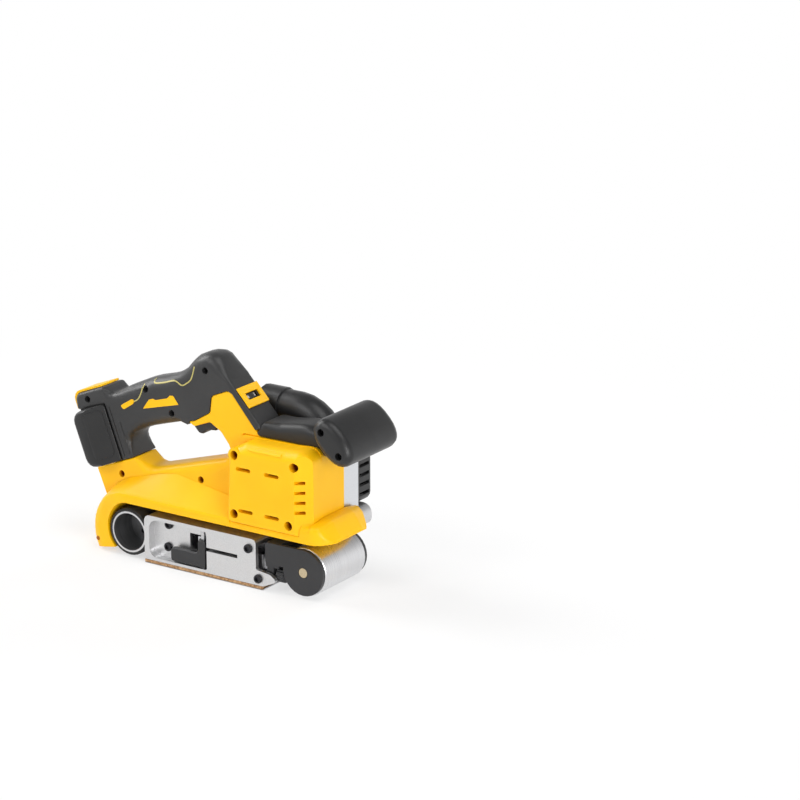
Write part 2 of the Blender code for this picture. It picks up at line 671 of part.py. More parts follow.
slot_reach = (BLOCK_FRONT - 14, BLOCK_FRONT - 5.8)
VENT_CORNERS = [(-8, -1.7), (8, -1.7), (8, 1.7), (-8, 1.7)]
vent_loops = [[(x + a, z + b, 1.6, 0) for a, b in VENT_CORNERS] for x, z in VENTS]
cut(
    motor_housing,
    *[tool(slab(outline(loop, COARSE), BLOCK_RIGHT - 2, BLOCK_RIGHT + 11)) for loop in vent_loops],
    *[tool(box(*slot_reach, BLOCK_RIGHT - 3, BLOCK_RIGHT + 13, z - 1.5, z + 1.5)) for z in SLOTS],
    *[tool(rod((x, BLOCK_RIGHT - 2, z), (x, screw_floor, z), 4.3, 16)) for x, z in BOSSES],
)

# Motor screws sit deep in the bosses
for number, (x, z) in enumerate(BOSSES, start=1):
    profile = [(-5, 0), (-5, 3.0), (-4, 3.8), (-GAP, 3.8), (-GAP, 0)]
    solid(f"motor_screw_{number}", turned(profile, (x, screw_floor, z), (0, 1, 0), 10), DARK_STEEL)

# Black drive cover: belt guard towards the rear roller and a louvred box over the motor end
guard_wheels = ((REAR, AXIS_Z, DRIVEN_RADIUS + 2.6), (MOTOR_X, MOTOR_Z, 20.0))
END_BASE = BLOCK_BASE + 6.3
END_TOP = CASE_TOP - 2.0
COVER_WALL = 3.0
END_BOX = [
    (END_REAR, END_BASE, 8, 4),
    (END_FRONT, END_BASE, 8, 4),
    (END_FRONT, END_TOP, 12, 4),
    (END_REAR, END_TOP, 12, 4),
]
END_ROOM = [
    (END_REAR + COVER_WALL, END_BASE + COVER_WALL, 5, 0),
    (END_FRONT - COVER_WALL, END_BASE + COVER_WALL, 5, 0),
    (END_FRONT - COVER_WALL, END_TOP - COVER_WALL, 9, 0),
    (END_REAR + COVER_WALL, END_TOP - COVER_WALL, 9, 0),
]
guard_loop = [(point, 3) for point, over in hull(*guard_wheels, 2.2)]
drive_cover = solid("drive_cover", slab(guard_loop, PLATE_Y + PLATE + GAP, GUARD_LEFT, False, True), BLACK)
join(drive_cover, tool(slab(outline(END_BOX), PLATE_Y, COVER_LEFT, False, True)))
cut(
    drive_cover,
    tool(slab(hull(*guard_wheels, 0), PLATE_Y + PLATE - 1, GUARD_LEFT - 2.5)),
    tool(slab(outline(END_ROOM), PLATE_Y - 1, COVER_LEFT - COVER_WALL)),
)
louvres = [END_BASE + 7.6 + 9 * k for k in range(5)]
end_reach = (END_FRONT - 5, END_FRONT + 2, PLATE_Y + 4, COVER_LEFT - 5)
side_reach = (END_FRONT - 36, END_FRONT - 8, COVER_LEFT - 6, COVER_LEFT + 2)
cut(
    drive_cover,
    *[tool(box(*end_reach, z, z + 3.2)) for z in louvres],
    *[tool(box(*side_reach, z, z + 3.2)) for z in louvres],
)


def foot_place(reach):
    """X and Z on the line that ends the column foot at the rear, out from the drive roller's axis."""
    lean = math.radians(FOOT_ANGLE)
    return (REAR + reach * math.cos(lean), AXIS_Z + reach * math.sin(lean))


# Yellow spine, neck and column foot: one outline, split down the middle
SPINE = on_grip([(-95.5, -44.4, 2, 3), (-48, -44.4, 2, 3)]) + [
    (BLOCK_REAR - 108, BLOCK_BASE + 22.7, 14, 8),
    (BLOCK_REAR - 19, BLOCK_BASE + 48.5, 9, 8),
    (BLOCK_REAR - 16, BLOCK_BASE + 57.9, 8, 5),
    (BLOCK_REAR - 26, BLOCK_BASE + 71.4, 6, 4),
] + on_grip([
    (51.5, -30, 3, 2),
    (33, -30, 2.5, 1),
    (28, -24.5, 1, 0.8),
    (36, -25, 0, 1.2),
    (55.5, -21.6, 4, 1.2),
    (63.3, -7.2, 5, 1.2),
    (83.2, -6.6, 5, 1.2),
    (87, -10.3, 3, 1.2),
    (102.6, -53.7, 0, 1),
]) + [
    (BLOCK_REAR - GAP, BLOCK_TOP + GAP, 0, 1),
    (BLOCK_REAR - GAP, BLOCK_BASE, 0, 1),
    (FOOT_FRONT, BLOCK_BASE, 0, 1),
    (*foot_place(FOOT_DEPTH), 0, 1),
    (*foot_place(FOOT_DEPTH + 13.9), 3, 3),
]
spine_loop = outline(SPINE)

# Black handle: cap over the battery mount, column, grip, hump and the slope for the dial
HANDLE = [
    (-96, 26, 12, 4),
    (-59.5, 26, 4, 4),
    (-50.5, 16.8, 7, 7),
    (-33, 20.2, 40, 11),
    (-6, 22, 60, 12),
    (20, 19.3, 50, 12),
    (38, 21.5, 30, 12),
    (57, 31.5, 22, 12),
    (80, 29.5, 16, 11),
    (87.3, 2, 25, 4),
    (105, -43, 12, 3),
    (107, -47, 1, 1),
    (96, -47, 0, 1),
    (80, -20, 0, 1),
    (60, -24.5, 0, 1),
    (26, -27, 0, 1),
    (16, -23.3, 5, 7),
    (-4, -22.5, 40, 12),
    (-24, -21, 40, 12),
    (-48, -23.5, 9, 7),
    (-48, -44, 1, 2),
    (-61.7, -44, 1, 1),
    (-61.7, 10.7, 1, 1),
    (-96, 10.7, 3, 3),
]
handle_loop = outline(on_grip(HANDLE))

# Rooms inside the two halves, each open at the split
TRIGGER_TOP = -13.0
room_top = TRIGGER_TOP + TRIGGER_TRAVEL + 1.5
TRIGGER_ROOM = [(24.7, -46, 0, 0), (53.3, -46, 0, 0), (53.3, room_top, 0, 0), (24.7, room_top, 0, 0)]
SWITCH_ROOM = [(20.7, -5.6, 0, 0), (51.3, -5.6, 0, 0), (51.3, 9.6, 0, 0), (20.7, 9.6, 0, 0)]
MODULE = (REAR + 22, BLOCK_REAR - 29, BLOCK_BASE + 5.9, BLOCK_BASE + 19.9)
dial_middle = slope(0, DIAL_DEPTH)
dial_axis = Vector((slope(1, 0)[0] - slope(0, 0)[0], 0, slope(1, 0)[1] - slope(0, 0)[1]))
dial_centre = Vector((dial_middle[0], 0, dial_middle[1]))


def rooms():
    """Tools that hollow the handle and the neck for trigger, switch and dial."""
    return [
        tool(slab(outline(on_grip(TRIGGER_ROOM)), -TRIGGER_HALF - 0.7, TRIGGER_HALF + 0.7)),
        tool(slab(outline(on_grip(SWITCH_ROOM)), -9.6, 9.6)),
        tool(rod(dial_centre - dial_axis * 3.6, dial_centre + dial_axis * 3.6, DIAL_RADIUS + 0.8, 28)),
        tool(rod(dial_centre - dial_axis * 6.6, dial_centre + dial_axis * 6.6, 2.6, 12)),
    ]


module_room = (MODULE[0] - 0.4, MODULE[1] + 0.4, -10.4, 10.4, MODULE[2] - 0.4, MODULE[3] + 0.4)
CLAMP_SCREWS = [grip(-80, 18.5), grip(-9.5, 13.6), grip(12.5, -13.5), grip(65.5, 16)]
NECK_SCREWS = [(BLOCK_REAR - 48.5, BLOCK_BASE + 22.9), (REAR - 21.0, BLOCK_BASE + 11.9)]
for side, sign in (("right", -1), ("left", 1)):
    low, high = sorted((sign * SPLIT, sign * NECK_HALF))
    half = solid(f"housing_{side}", slab(spine_loop, low, high, sign < 0, sign > 0), YELLOW)
    cut(half, tool(box(*module_room)), *rooms())
    low, high = sorted((sign * SPLIT, sign * HANDLE_HALF))
    black = solid(f"handle_{side}", slab(handle_loop, low, high, sign < 0, sign > 0), BLACK)
    cut(black, tool(slab(grown(spine_loop), -HANDLE_HALF - 2, HANDLE_HALF + 2)), *rooms())
    if side == "right":
        cut(half, *[tool(rod((x, -20, z), (x, -8, z), 3.3, 12)) for x, z in NECK_SCREWS])
        cut(black, *[tool(rod((x, -20, z), (x, -11, z), 3.3, 12)) for x, z in CLAMP_SCREWS])
    else:
        button_place = grip(33, 2)
        bore_ends = [(button_place[0], y, button_place[1]) for y in (8, 20)]
        cut(black, tool(rod(*bore_ends, BUTTON_RADIUS + RUN, 16)))

# Yellow strip round the top rear corner of the handle
CAP_STRIP = [
    (-96.3, 11.5, 0, 0),
    (-96.3, 26.3, 12.3, 1),
    (-62, 26.3, 0, 1),
    (-62, 28.4, 1, 1),
    (-98.6, 28.4, 14.4, 1),
    (-98.6, 11.5, 1, 1),
]
solid("cap_trim", slab(outline(on_grip(CAP_STRIP)), -13, 13), YELLOW)

# Battery mount: wide block open to the rear and below, tapered towards the column, with inward rails
MOUNT = [(-96, -43.8, 10, 4), (-62, -43.8, 2, 1.5), (-62, 10.4, 3, 2), (-96, 10.4, 10, 4)]
MOUNT_ROOM = [(-91, -46, 0, 0), (-74, -46, 0, 0), (-74, 5, 0, 0), (-91, 5, 0, 0)]
MOUNT_MOUTH = [(-100, -46, 0, 0), (-90.5, -46, 0, 0), (-90.5, 5, 0, 0), (-100, 5, 0, 0)]
mount_loop = outline(on_grip(MOUNT))


def mount_taper(sign):
    """Wedge that slims the mount towards the column on one side."""
    rings = []
    for t in (-60, 20):
        corners = [(grip(s, t), sign * y) for s, y in ((-82, 30), (-61, 30), (-61, 18))]
        rings.append([Vector((x, y, z)) for (x, z), y in corners])
    return skin(rings)


battery_mount = solid("battery_mount", slab(mount_loop, -MOUNT_HALF, MOUNT_HALF, True, True), GREY)
cut(
    battery_mount,
    *[tool(mount_taper(sign)) for sign in (-1, 1)],
    tool(slab(outline(on_grip(MOUNT_ROOM)), -22.5, 22.5)),
    tool(slab(outline(on_grip(MOUNT_MOUTH)), -18.5, 18.5)),
)
TERMINAL = [(-79, -16, 1, 0), (-74.3, -16, 0, 0), (-74.3, 3, 0, 0), (-79, 3, 1, 0)]
BLADE = [(-87, -12, 1, 0), (-78, -12, 0, 0), (-78, 0, 0, 0), (-87, 0, 1, 0)]
terminal_block = solid("terminal_block", slab(outline(on_grip(TERMINAL), COARSE), -14, 14), GREY)
blade_loop = outline(on_grip(BLADE), COARSE)
join(terminal_block, *[tool(slab(blade_loop, y - 0.5, y + 0.5)) for y in (-10, -3.5, 3.5, 10)])

# Electronics in the spine
module_box = box(MODULE[0], MODULE[1], -10, 10, MODULE[2], MODULE[3])
solid("control_module", module_box, GREY)

# Trigger, switch and lock-on button
TRIGGER = [
    (25.5, TRIGGER_TOP, 2, 2),
    (25.5, -31, 3, 3),
    (29, -41, 5, 3),
    (40, -36.5, 14, 3),
    (50, -41.5, 5, 3),
    (52.5, -31, 3, 3),
    (52.5, TRIGGER_TOP, 2, 2),
]
SWITCH = [(22, -5, 1, 0), (50.7, -5, 1, 0), (50.7, 9, 1, 0), (22, 9, 1, 0)]
trigger_loop = outline(on_grip(TRIGGER))
solid("trigger", slab(trigger_loop, -TRIGGER_HALF, TRIGGER_HALF, True, True, 2), GREY)
solid("trigger_switch", slab(outline(on_grip(SWITCH), COARSE), -9, 9), GREY)
BUTTON = [(12, 0), (12, BUTTON_RADIUS), (19.2, BUTTON_RADIUS), (20.2, BUTTON_RADIUS - 1), (20.2, 0)]
button_axis = (button_place[0], 0, button_place[1])
solid("lock_button", turned(BUTTON, button_axis, (0, 1, 0), 16), GREY)

# Speed panel and thumbwheel on the slope
panel_end = PANEL_LONG / 2
panel_corners = [(-panel_end, 0.3), (panel_end, 0.3), (panel_end, 2.1), (-panel_end, 2.1)]
panel_loop = outline([(*slope(along, out), 0.6 if out > 1 else 0, 0.6) for along, out in panel_corners])
speed_panel = solid("speed_panel", slab(panel_loop, -PANEL_HALF, PANEL_HALF, True, True, 2), YELLOW)
window_corners = [(-3.4, -2), (3.4, -2), (3.4, 4), (-3.4, 4)]
cut(speed_panel, tool(slab(outline([(*slope(along, out), 0, 0) for along, out in window_corners]), -9, 9)))
WHEEL = [(-6, 0), (-6, 2), (-2.8, 2), (-2.8, DIAL_RADIUS - 0.8), (-2, DIAL_RADIUS)]
WHEEL += [(-along, radius) for along, radius in reversed(WHEEL)]
solid("speed_dial", turned(WHEEL, dial_centre, dial_axis, 20), GREY)

# Front handle: oval barrel in two halves
barrel = []
for k in range(26):
    turn = 2 * math.pi * k / 26
    lean = math.radians(KNOB_TILT)
    power = 2 / 2.3
    along = KNOB_LONG * math.copysign(abs(math.cos(turn)) ** power, math.cos(turn))
    across = KNOB_SHORT * math.copysign(abs(math.sin(turn)) ** power, math.sin(turn))
    x = KNOB_X + along * math.cos(lean) - across * math.sin(lean)
    z = KNOB_Z + along * math.sin(lean) + across * math.cos(lean)
    barrel.append((Vector((x, z)), 8.0))
knob_mesh = slab(barrel, KNOB_RIGHT, KNOB_SPLIT - SPLIT, True, False, 3)
knob_right = solid("front_handle_right", knob_mesh, BLACK)
solid("front_handle_left", slab(barrel, KNOB_SPLIT + SPLIT, KNOB_LEFT, False, True, 3), BLACK)
knob_screws = [(KNOB_X - 9.3, KNOB_Z + 9.3), (KNOB_X + 9.3, KNOB_Z - 9.3)]
for number, (x, z) in enumerate(knob_screws, start=1):
    cut(knob_right, tool(rod((x, KNOB_RIGHT - 1, z), (x, KNOB_RIGHT + 9, z), 3.5, 14)))
    profile = [(4.5, 0), (4.5, 2.4), (5.5, 3.1), (8.7, 3.1), (8.7, 0)]
    solid(f"front_handle_screw_{number}", turned(profile, (x, KNOB_RIGHT, z), (0, 1, 0), 10), DARK_STEEL)

# Black shroud from the slope to the front handle, fitted round its neighbours
SHROUD = [
    (BLOCK_REAR + 13, BLOCK_TOP + 0.7, 0, 2),
    (BLOCK_FRONT - 3.7, BLOCK_TOP + 0.7, 0, 2),
    (BLOCK_FRONT + 1.3, BLOCK_TOP - 6.3, 3, 3),
    (BLOCK_FRONT + 12.3, BLOCK_TOP - 1.3, 3, 3),
    (BLOCK_FRONT + 4.3, BLOCK_TOP + 13.7, 10, 6),
    (BLOCK_FRONT - 19.7, BLOCK_TOP + 19.7, 25, 8),
    (BLOCK_REAR + 39, BLOCK_TOP + 15.7, 40, 8),
    (BLOCK_REAR + 21, BLOCK_TOP + 14.2, 5, 4),
]
top_shroud = solid("top_shroud", slab(outline(SHROUD), -HANDLE_HALF, HANDLE_HALF, True, True), BLACK)
wide = HANDLE_HALF + 3
cut(
    top_shroud,
    tool(slab(grown(block_loop), -wide, wide)),
    tool(slab(grown(spine_loop), -wide, wide)),
    tool(slab(grown(handle_loop), -wide, wide)),
    tool(slab(grown(barrel), -wide, wide)),
)

# Dust port: collar facing the rear, tube, and an elbow down to the gear case
collar_end = PORT_REAR + 22.0
port_path = [Vector((x, PORT_Y, PORT_Z)) for x in (PORT_REAR, collar_end, collar_end + 0.5, PORT_BEND)]
port_radius = [PORT_RADIUS + 1.5, PORT_RADIUS + 1.5, PORT_RADIUS, PORT_RADIUS]
for k in range(1, 6):
    turn = math.radians(13 * k)
    reach = 34
    drop = reach * (1 - math.cos(turn))
    port_path.append(Vector((PORT_BEND + reach * math.sin(turn), PORT_Y - 0.4 * k, PORT_Z - drop)))
    port_radius.append(PORT_RADIUS)
port_path.append(port_path[-1] + Vector((7, 0, -15)))
port_radius.append(PORT_RADIUS)
port_outer = sweep(port_path, port_radius, 16)
port_inner = sweep(port_path, PORT_BORE, 16)
dust_port = solid("dust_port", skin(port_outer + port_inner[::-1], closed=True), BLACK)
cut(dust_port, tool(box(PORT_BEND - 6, PORT_BEND + 84, 0, 80, PORT_FOOT - 40, PORT_FOOT)))

# Yellow hood over the belt: rear arc round the drive roller, then forward to a rounded front rim
HOOD_ANGLES = [222, 205, 180, FOOT_ANGLE, 130, 110, 90]
HOOD_ARC = [
    (ROLLER_RADIUS + 2.5, 46.0, 47.5, HOOD_RIGHT + 5.0),
    (ROLLER_RADIUS + 2.2, 45.0, 47.0, HOOD_RIGHT + 5.0),
    (ROLLER_RADIUS + 2.1, 43.2, 46.0, HOOD_RIGHT + 4.7),
    (ROLLER_RADIUS + 2.5, 41.2, 45.0, HOOD_RIGHT + 3.4),
    (ROLLER_RADIUS + 3.5, 41.0, 46.0, HOOD_RIGHT + 2.0),
    (ROLLER_RADIUS + 5.7, 40.0, 47.5, HOOD_RIGHT + 0.5),
    (HOOD_UNDER, 39.0, 50.0, HOOD_RIGHT),
]
HOOD_TOP = HOOD_UNDER + HOOD_SKIN
CORNER_X = BLOCK_FRONT - 10.4
CORNER_RIGHT = HOOD_RIGHT - 0.8
HOOD_RUN = [
    (-75, HOOD_UNDER, 38.6, 57.0, 0, True),
    (-54, HOOD_UNDER, 38.6, 61.0, 0, True),
    (-30, HOOD_UNDER, 38.6, 57.0, 0, True),
    (BLOCK_REAR - 0.6, HOOD_UNDER, 38.6, 48.0, 0, True),
    (BLOCK_REAR - 0.4, HOOD_UNDER, HOOD_TOP, HOOD_TOP, 0, False),
]

# Front rim: ahead of the block, how far the right and left sides draw in, then underside, rim and roof
HOOD_NOSE = [
    (0.6, -0.8, 5.0, HOOD_UNDER, 46.4, 49.2),
    (4.5, 0.2, 6.0, HOOD_UNDER, 46.3, 48.6),
    (8.0, 1.8, 8.0, HOOD_UNDER + 0.1, 45.0, 47.6),
    (10.5, 3.2, 10.0, HOOD_UNDER + 0.2, 42.0, 46.2),
    (13.0, 5.2, 12.0, HOOD_UNDER + 0.4, 38.8, 41.8),
    (16.0, 8.6, 14.5, HOOD_UNDER + 0.6, 35.2, 37.4),
    (18.5, 12.0, 17.5, HOOD_UNDER + 0.9, 32.6, 33.8),
    (19.8, 15.0, 20.0, HOOD_UNDER + 1.0, 31.4, 32.0),
]


def hood_ring(centre, outward, under, rim, roof, right, left, floor):
    """One cross-section of the hood, as distances out from the roller axis line."""
    band = rim - under
    shoulder = NECK_HALF + GAP
    side_roof = roof - (roof - rim) * (shoulder - 15.5) / (-right - 4 - 15.5)
    middle, height = (shoulder, floor) if floor else (15.5, roof)
    section = [
        (right, under),
        (right, under + 0.55 * band),
        (right + 1.2, under + 0.85 * band),
        (right + 4, rim),
        (-shoulder, side_roof),
        (-middle, height),
        (middle, height),
        (shoulder, side_roof),
        (left - 4, rim),
        (left, under + 0.75 * band),
        (left, under),
    ]
    return [Vector((centre[0] + outward[0] * r, y, centre[1] + outward[1] * r)) for y, r in section]


def hood_corner(x, rim):
    """Cross-section beside the bevel of the block, with a rim that stands up in front of the bevel."""
    start, corner, end = BEVEL
    edge = start[1] + (end[1] - start[1]) * (x - start[0]) / (end[0] - start[0]) - 1.5 * GAP
    band = rim - HOOD_UNDER
    section = [
        (CORNER_RIGHT, HOOD_UNDER),
        (CORNER_RIGHT, HOOD_UNDER + 0.55 * band),
        (CORNER_RIGHT + 0.3 * (edge - CORNER_RIGHT), HOOD_UNDER + 0.85 * band),
        (edge, rim),
        (edge + 0.1, HOOD_TOP),
        (-15.5, HOOD_TOP),
        (15.5, HOOD_TOP),
        (NECK_HALF + GAP, HOOD_TOP),
        (HOOD_LEFT - 4, HOOD_TOP),
        (HOOD_LEFT, HOOD_UNDER + 0.75 * HOOD_SKIN),
        (HOOD_LEFT, HOOD_UNDER),
    ]
    return [Vector((x, y, AXIS_Z + r)) for y, r in section]


def foot_floor(degrees):
    """Distance from the roller axis to the underside of the column foot."""
    lean = math.radians(FOOT_ANGLE)
    rear = Vector((math.cos(lean), math.sin(lean))) * FOOT_DEPTH
    front = Vector((FOOT_FRONT - REAR, BLOCK_BASE - AXIS_Z))
    way = Vector((math.cos(math.radians(degrees)), math.sin(math.radians(degrees))))
    edge = front - rear
    reach = (rear.x * edge.y - rear.y * edge.x) / (way.x * edge.y - way.y * edge.x)
    return min(reach, HOOD_TOP / max(way.y, 0.1)) - GAP


def hood_values(degrees):
    """Sizes of the rear arc between its control angles."""
    step = 0
    while degrees < HOOD_ANGLES[step + 1]:
        step += 1
    part = (HOOD_ANGLES[step] - degrees) / (HOOD_ANGLES[step] - HOOD_ANGLES[step + 1])
    return [a + (b - a) * part for a, b in zip(HOOD_ARC[step], HOOD_ARC[step + 1])]


def hood_end(under, rim, roof, right):
    """Level lower end of the rear arc, a little higher on its inner side."""
    ring = []
    for point in hood_ring((0, 0), (1, 0), under, rim, roof, right, HOOD_LEFT, 0):
        drop = AXIS_Z - HOOD_END - 0.2 * (roof - point.x)
        ring.append(Vector((REAR - math.sqrt(point.x ** 2 - drop ** 2), point.y, AXIS_Z - drop)))
    return ring


hood_rings = []
arc_steps = [210, 202, 194, 186, 178, 170, 160, FOOT_ANGLE + 0.8, FOOT_ANGLE + 0.6]
arc_steps += [140, 130, 120, 110, 100, 90]
for degrees in arc_steps:
    under, rim, roof, right = hood_values(degrees)
    turn = math.radians(degrees)
    floor = foot_floor(degrees) if degrees < FOOT_ANGLE + 0.7 else 0
    outward = (math.cos(turn), math.sin(turn))
    hood_rings.append(hood_ring((REAR, AXIS_Z), outward, under, rim, roof, right, HOOD_LEFT, floor))
hood_rings.insert(0, hood_end(*hood_values(215)))
for x, under, rim, roof, narrow, channel in HOOD_RUN:
    right = HOOD_RIGHT + narrow
    left = HOOD_LEFT - 0.75 * narrow
    floor = HOOD_TOP if channel else 0
    hood_rings.append(hood_ring((x, AXIS_Z), (0, 1), under, rim, roof, right, left, floor))
CORNER_RIM = [(0, HOOD_TOP), (0.8, 43.5), (2.4, 46.0), (6.4, 46.4), (10.8, 46.4)]
hood_rings += [hood_corner(CORNER_X + along, rim) for along, rim in CORNER_RIM]
for ahead, draw_right, draw_left, under, rim, roof in HOOD_NOSE:
    sides = (HOOD_RIGHT + draw_right, HOOD_LEFT - draw_left)
    hood_rings.append(hood_ring((BLOCK_FRONT + ahead, AXIS_Z), (0, 1), under, rim, roof, *sides, 0))
solid("belt_hood", skin(hood_rings), YELLOW)

# Front idler: roller on an axle in a forked yoke
IDLER_PROFILE = [
    (-IDLER_HALF, 9.3),
    (-IDLER_HALF, ROLLER_RADIUS - 0.8),
    (-IDLER_HALF + 0.8, ROLLER_RADIUS),
    (IDLER_HALF - 0.8, ROLLER_RADIUS),
    (IDLER_HALF, ROLLER_RADIUS - 0.8),
    (IDLER_HALF, 9.3),
]
front_axis = (FRONT, 0, AXIS_Z)
solid("idler_roller", turned(IDLER_PROFILE, front_axis, (0, 1, 0), 32), STEEL)
solid("idler_axle", rod((FRONT, -YOKE_HALF, AXIS_Z), (FRONT, YOKE_HALF, AXIS_Z), AXLE_RADIUS), BRASS)
AXLE_BORE = AXLE_RADIUS + GAP
for side, low in (("right", -IDLER_HALF + 0.5), ("left", IDLER_HALF - 6.5)):
    solid(f"idler_bearing_{side}", sleeve(low, low + 6, AXLE_BORE, 9, FRONT, AXIS_Z, 14), STEEL)
ARM_LOW = AXIS_Z + 1.1
ARM_HIGH = AXIS_Z + 21.1
ARM = [(YOKE_BACK, ARM_LOW, 2, 0), (FRONT, ARM_LOW, 0, 0), (FRONT, ARM_HIGH, 0, 0), (YOKE_BACK, ARM_HIGH, 3, 0)]
arm_loop = outline(ARM)
bar = (YOKE_BACK, PIVOT_X + 7, -YOKE_HALF + 1, YOKE_HALF - 1, BAR_LOW, BAR_HIGH)
idler_yoke = solid("idler_yoke", box(*bar), GREY)
for low in (-YOKE_HALF, YOKE_HALF - YOKE_ARM):
    high = low + YOKE_ARM
    disc = tool(slab(circle(FRONT, AXIS_Z, YOKE_DISC, 28), low, high))
    join(idler_yoke, disc, tool(slab(arm_loop, low, high)))
slot_half = TONGUE_HALF + 1
join(idler_yoke, tool(box(YOKE_BACK, PIVOT_X, TRACK_Y - 6, TRACK_Y + 6, TRACK_Z - 6, BAR_LOW + 1)))
cut(
    idler_yoke,
    tool(box(PIVOT_X - 14, PIVOT_X + 16, -slot_half, slot_half, TONGUE_LOW - GAP, TONGUE_HIGH + GAP)),
    tool(rod((PIVOT_X, 0, BAR_LOW - 10), (PIVOT_X, 0, BAR_HIGH + 5), PIN_RADIUS + GAP, 14)),
    tool(rod((FRONT, -YOKE_HALF - 9, AXIS_Z), (FRONT, YOKE_HALF + 9, AXIS_Z), AXLE_BORE, 16)),
    tool(rod((PIVOT_X - 14, TRACK_Y, TRACK_Z), (PIVOT_X + 6, TRACK_Y, TRACK_Z), SCREW_RADIUS + 0.4, 12)),
)
solid("yoke_pin", rod((PIVOT_X, 0, BAR_LOW), (PIVOT_X, 0, BAR_HIGH), PIN_RADIUS, 14), STEEL)

# Tension slide: tongue in the yoke, boss for the spring, ear at the lever, arm for the tracking screw
tongue = (LEVER_X - 5, PIVOT_X + 5, -TONGUE_HALF, TONGUE_HALF, TONGUE_LOW, TONGUE_HIGH)
tension_slide = solid("tension_slide", box(*tongue), STEEL)
boss_rear = LEVER_X - 11
arm_front = PIVOT_X - 13
join(
    tension_slide,
    tool(box(boss_rear, LEVER_X + 1, -8.5, 8.5, SPRING_Z - 6.5, SPRING_Z + 6.5)),
    tool(box(LEVER_X - 9, LEVER_X - 3, LEVER_Y + 4.3, -6, SPRING_Z - 6, SPRING_Z + 6)),
    tool(box(arm_front - 5, arm_front, TRACK_Y - 4, -6, TRACK_Z - 4, TONGUE_HIGH - 2)),
)
cut(tension_slide, tool(rod((PIVOT_X, 0, BAR_LOW - 10), (PIVOT_X, 0, BAR_HIGH + 5), PIN_RADIUS + GAP, 14)))

# Tension spring between the frame's rear wall and the slide
spring_start = SOLE_REAR + REAR_WALL + GAP + SPRING_WIRE
spring_end = boss_rear - GAP - SPRING_WIRE
spring_path = []
spring_points = SPRING_TURNS * 8
for k in range(spring_points + 1):
    turn = 2 * math.pi * SPRING_TURNS * k / spring_points
    x = spring_start + (spring_end - spring_start) * k / spring_points
    y = SPRING_RADIUS * math.cos(turn)
    spring_path.append(Vector((x, y, SPRING_Z + SPRING_RADIUS * math.sin(turn))))
solid("tension_spring", skin(sweep(spring_path, SPRING_WIRE, 5)), STEEL)
half_turn = spring_points // SPRING_TURNS // 2
apart = [(a - b).length for k, a in enumerate(spring_path) for b in spring_path[k + half_turn + 1:]]
print("least gap between spring turns", round(min(apart) - 2 * SPRING_WIRE, 2), "mm")

# Tension lever swings out about an upright pin
LEVER_BASE = 7.3
LEVER_TOP = 34.0
LEVER = [
    (LEVER_X - 35, LEVER_BASE, 3, 1),
    (LEVER_X + 3.8, LEVER_BASE, 1.5, 1),
    (LEVER_X + 3.8, LEVER_TOP, 2, 1),
    (LEVER_X - 4, LEVER_TOP, 3, 1),
    (LEVER_X - 4, 21, 3, 1),
    (LEVER_X - 35, 21, 4, 1),
]
lever_loop = outline(LEVER, COARSE)
tension_lever = solid("tension_lever", slab(lever_loop, LEVER_Y - 3.9, LEVER_Y + 0.1, True, False, 1), GREY)
join(tension_lever, tool(rod((LEVER_X, LEVER_Y, LEVER_BASE), (LEVER_X, LEVER_Y, LEVER_TOP), 3.7, 12)))
cut(tension_lever, tool(rod((LEVER_X, LEVER_Y, 0), (LEVER_X, LEVER_Y, FRAME_TOP), LEVER_PIN + GAP, 12)))
pin_ends = [(LEVER_X, LEVER_Y, z) for z in (FRAME_BASE + 0.4 + GAP, FRAME_TOP - 1.6 - GAP)]
solid("lever_pin", rod(*pin_ends, LEVER_PIN, 12), STEEL)

# Tracking knob: ribbed wheel on a screw through the yoke, bearing on the slide
wheel_rings = []
for x in (PIVOT_X + 2.5, PIVOT_X + 10.5):
    ring = []
    for k in range(32):
        turn = 2 * math.pi * k / 32
        radius = TRACK_RADIUS if k % 2 else TRACK_RADIUS - 0.8
        ring.append(Vector((x, TRACK_Y + radius * math.cos(turn), TRACK_Z + radius * math.sin(turn))))
    wheel_rings.append(ring)
tracking_knob = solid("tracking_knob", skin(wheel_rings), RUBBER)
screw_ends = [(x, TRACK_Y, TRACK_Z) for x in (arm_front + RUN, PIVOT_X + 4)]
join(tracking_knob, tool(rod(*screw_ends, SCREW_RADIUS, 12)))

# Smooth shading between faces that nearly line up
for item in bpy.data.objects:
    mesh = bmesh.new()
    mesh.from_mesh(item.data)
    for face in mesh.faces:
        face.smooth = True
    for edge in mesh.edges:
        edge.smooth = len(edge.link_faces) == 2 and edge.calc_face_angle(0) < math.radians(32)
    mesh.to_mesh(item.data)
    mesh.free()
    print(item.name, "triangles", sum(len(p.vertices) - 2 for p in item.data.polygons))
print("total", sum(sum(len(p.vertices) - 2 for p in o.data.polygons) for o in bpy.data.objects))
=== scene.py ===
"""Looks of the handheld belt sander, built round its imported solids."""

import json
import math

import bmesh
import bpy
from mathutils import Matrix, Vector
from mathutils.bvhtree import BVHTree

